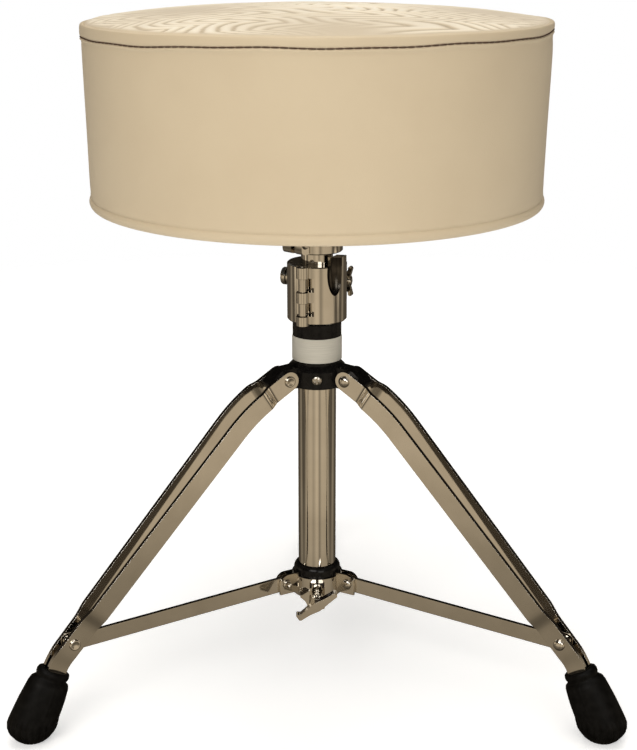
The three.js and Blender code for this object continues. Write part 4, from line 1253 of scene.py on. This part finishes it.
def make_floor():
    """A pale round floor whose edge fades into the white surround, unseen in reflections."""
    radius = 1.6  # metres
    mesh = bpy.data.meshes.new("floor")
    mesh.from_pydata([Vector(point) * radius for point in circle(1, 0, 128)], [], [tuple(range(128))])
    floor = added("floor", mesh)
    floor.visible_glossy = False
    look = Look("pale_floor", (0.93, 0.93, 0.92), 0.8, Specular_IOR_Level=0.0, Emission_Strength=0.42)
    look.mottle(look.noise(300, 2), (0.92, 0.92, 0.91), (0.94, 0.94, 0.935))
    inputs = {"Vector": look.stretched(1 / radius, 1 / radius, 1)}
    gradient = look.node("TexGradient", inputs, gradient_type="SPHERICAL").outputs["Fac"]
    fade = look.node("MapRange", {"Value": gradient, "From Max": 0.35})
    look.join(fade.outputs["Result"], "Alpha")
    mesh.materials.append(look.material)


def make_world():
    """White all round for the camera and for soft fill; in reflections, a warm room lit from the front."""
    world = bpy.data.worlds.new("studio")
    bpy.context.scene.world = world
    world.use_nodes = True
    tree = world.node_tree
    tree.nodes.clear()
    place = shader_node(tree, "TexCoord").outputs["Generated"]
    way = shader_node(tree, "SeparateXYZ", {"Vector": place}).outputs
    front = world_ramp(tree, way["Y"], FRONT_TO_BACK)
    height = world_ramp(tree, way["Z"], FLOOR_TO_CEILING)
    across_room = world_ramp(tree, way["X"], LEFT_TO_RIGHT)
    room = multiplied(tree, multiplied(tree, front, height), across_room)
    path = shader_node(tree, "LightPath").outputs
    fill = glow(tree, FILL_COLOR, FILL_STRENGTH)
    around = mixed(tree, path["Is Glossy Ray"], fill, glow(tree, room, ROOM_STRENGTH))
    seen = mixed(tree, path["Is Camera Ray"], around, glow(tree, WHITE, 1))
    shader_node(tree, "OutputWorld", {"Surface": seen})


def glow(tree, color, strength):
    return shader_node(tree, "Background", {"Color": color, "Strength": strength}).outputs["Background"]


def mixed(tree, share, first, second):
    return shader_node(tree, "MixShader", {"Fac": share, 1: first, 2: second}).outputs["Shader"]


def multiplied(tree, first, second):
    inputs = {"Factor": 1, 6: first, 7: second}
    return shader_node(tree, "Mix", inputs, data_type="RGBA", blend_type="MULTIPLY").outputs[2]


def world_ramp(tree, source, stops):
    """A colour ramp over directions, whose stops run from -1 to 1."""
    scaled = shader_node(tree, "MapRange", {"Value": source, "From Min": -1}).outputs["Result"]
    return color_ramp(tree, scaled, [((position + 1) / 2, color) for position, color in stops])


def area_light(name, place, aim, size, power, color=(1, 0.97, 0.93)):
    light = bpy.data.lights.new(name, "AREA")
    light.shape = "RECTANGLE"
    light.size, light.size_y = size
    light.energy = power
    light.color = color
    lamp = added(name, light)
    lamp.location = place
    lamp.rotation_euler = (Vector(aim) - Vector(place)).to_track_quat("-Z", "Y").to_euler()
    return lamp


def make_lights():
    area_light("key", (-0.9, -2.3, 1.7), (0, 0, 0.3), (1.4, 1.2), 28)
    area_light("front_fill", (0.9, -2.5, 1.1), (0, 0, 0.35), (1.2, 1.4), 14)
    area_light("overhead", (0, -0.2, 2.3), (0, 0, 0), (1.8, 1.8), 24)
    rear = area_light("rear_fill", (0.3, 2.6, 1.2), (0, 0, 0.35), (2.0, 1.6), 20)
    rear.visible_glossy = False


def make_camera():
    data = bpy.data.cameras.new("photo_view")
    data.lens = CAMERA_LENS
    data.sensor_width = 36
    camera = added("photo_view", data)
    camera.location = COLUMN + Vector(CAMERA_FROM_COLUMN)
    camera.rotation_euler = (math.radians(90 - CAMERA_DIP), 0, 0)
    bpy.context.scene.camera = camera


make_camera()
make_column()
make_tripod_hub()
make_hub_screw()
make_label()
make_clamp()
make_seat_hardware()
make_cushion()
make_stitches()
make_lower_hub()
make_legs()
make_floor()
make_world()
make_lights()
bpy.context.scene.view_settings.view_transform = "Standard"
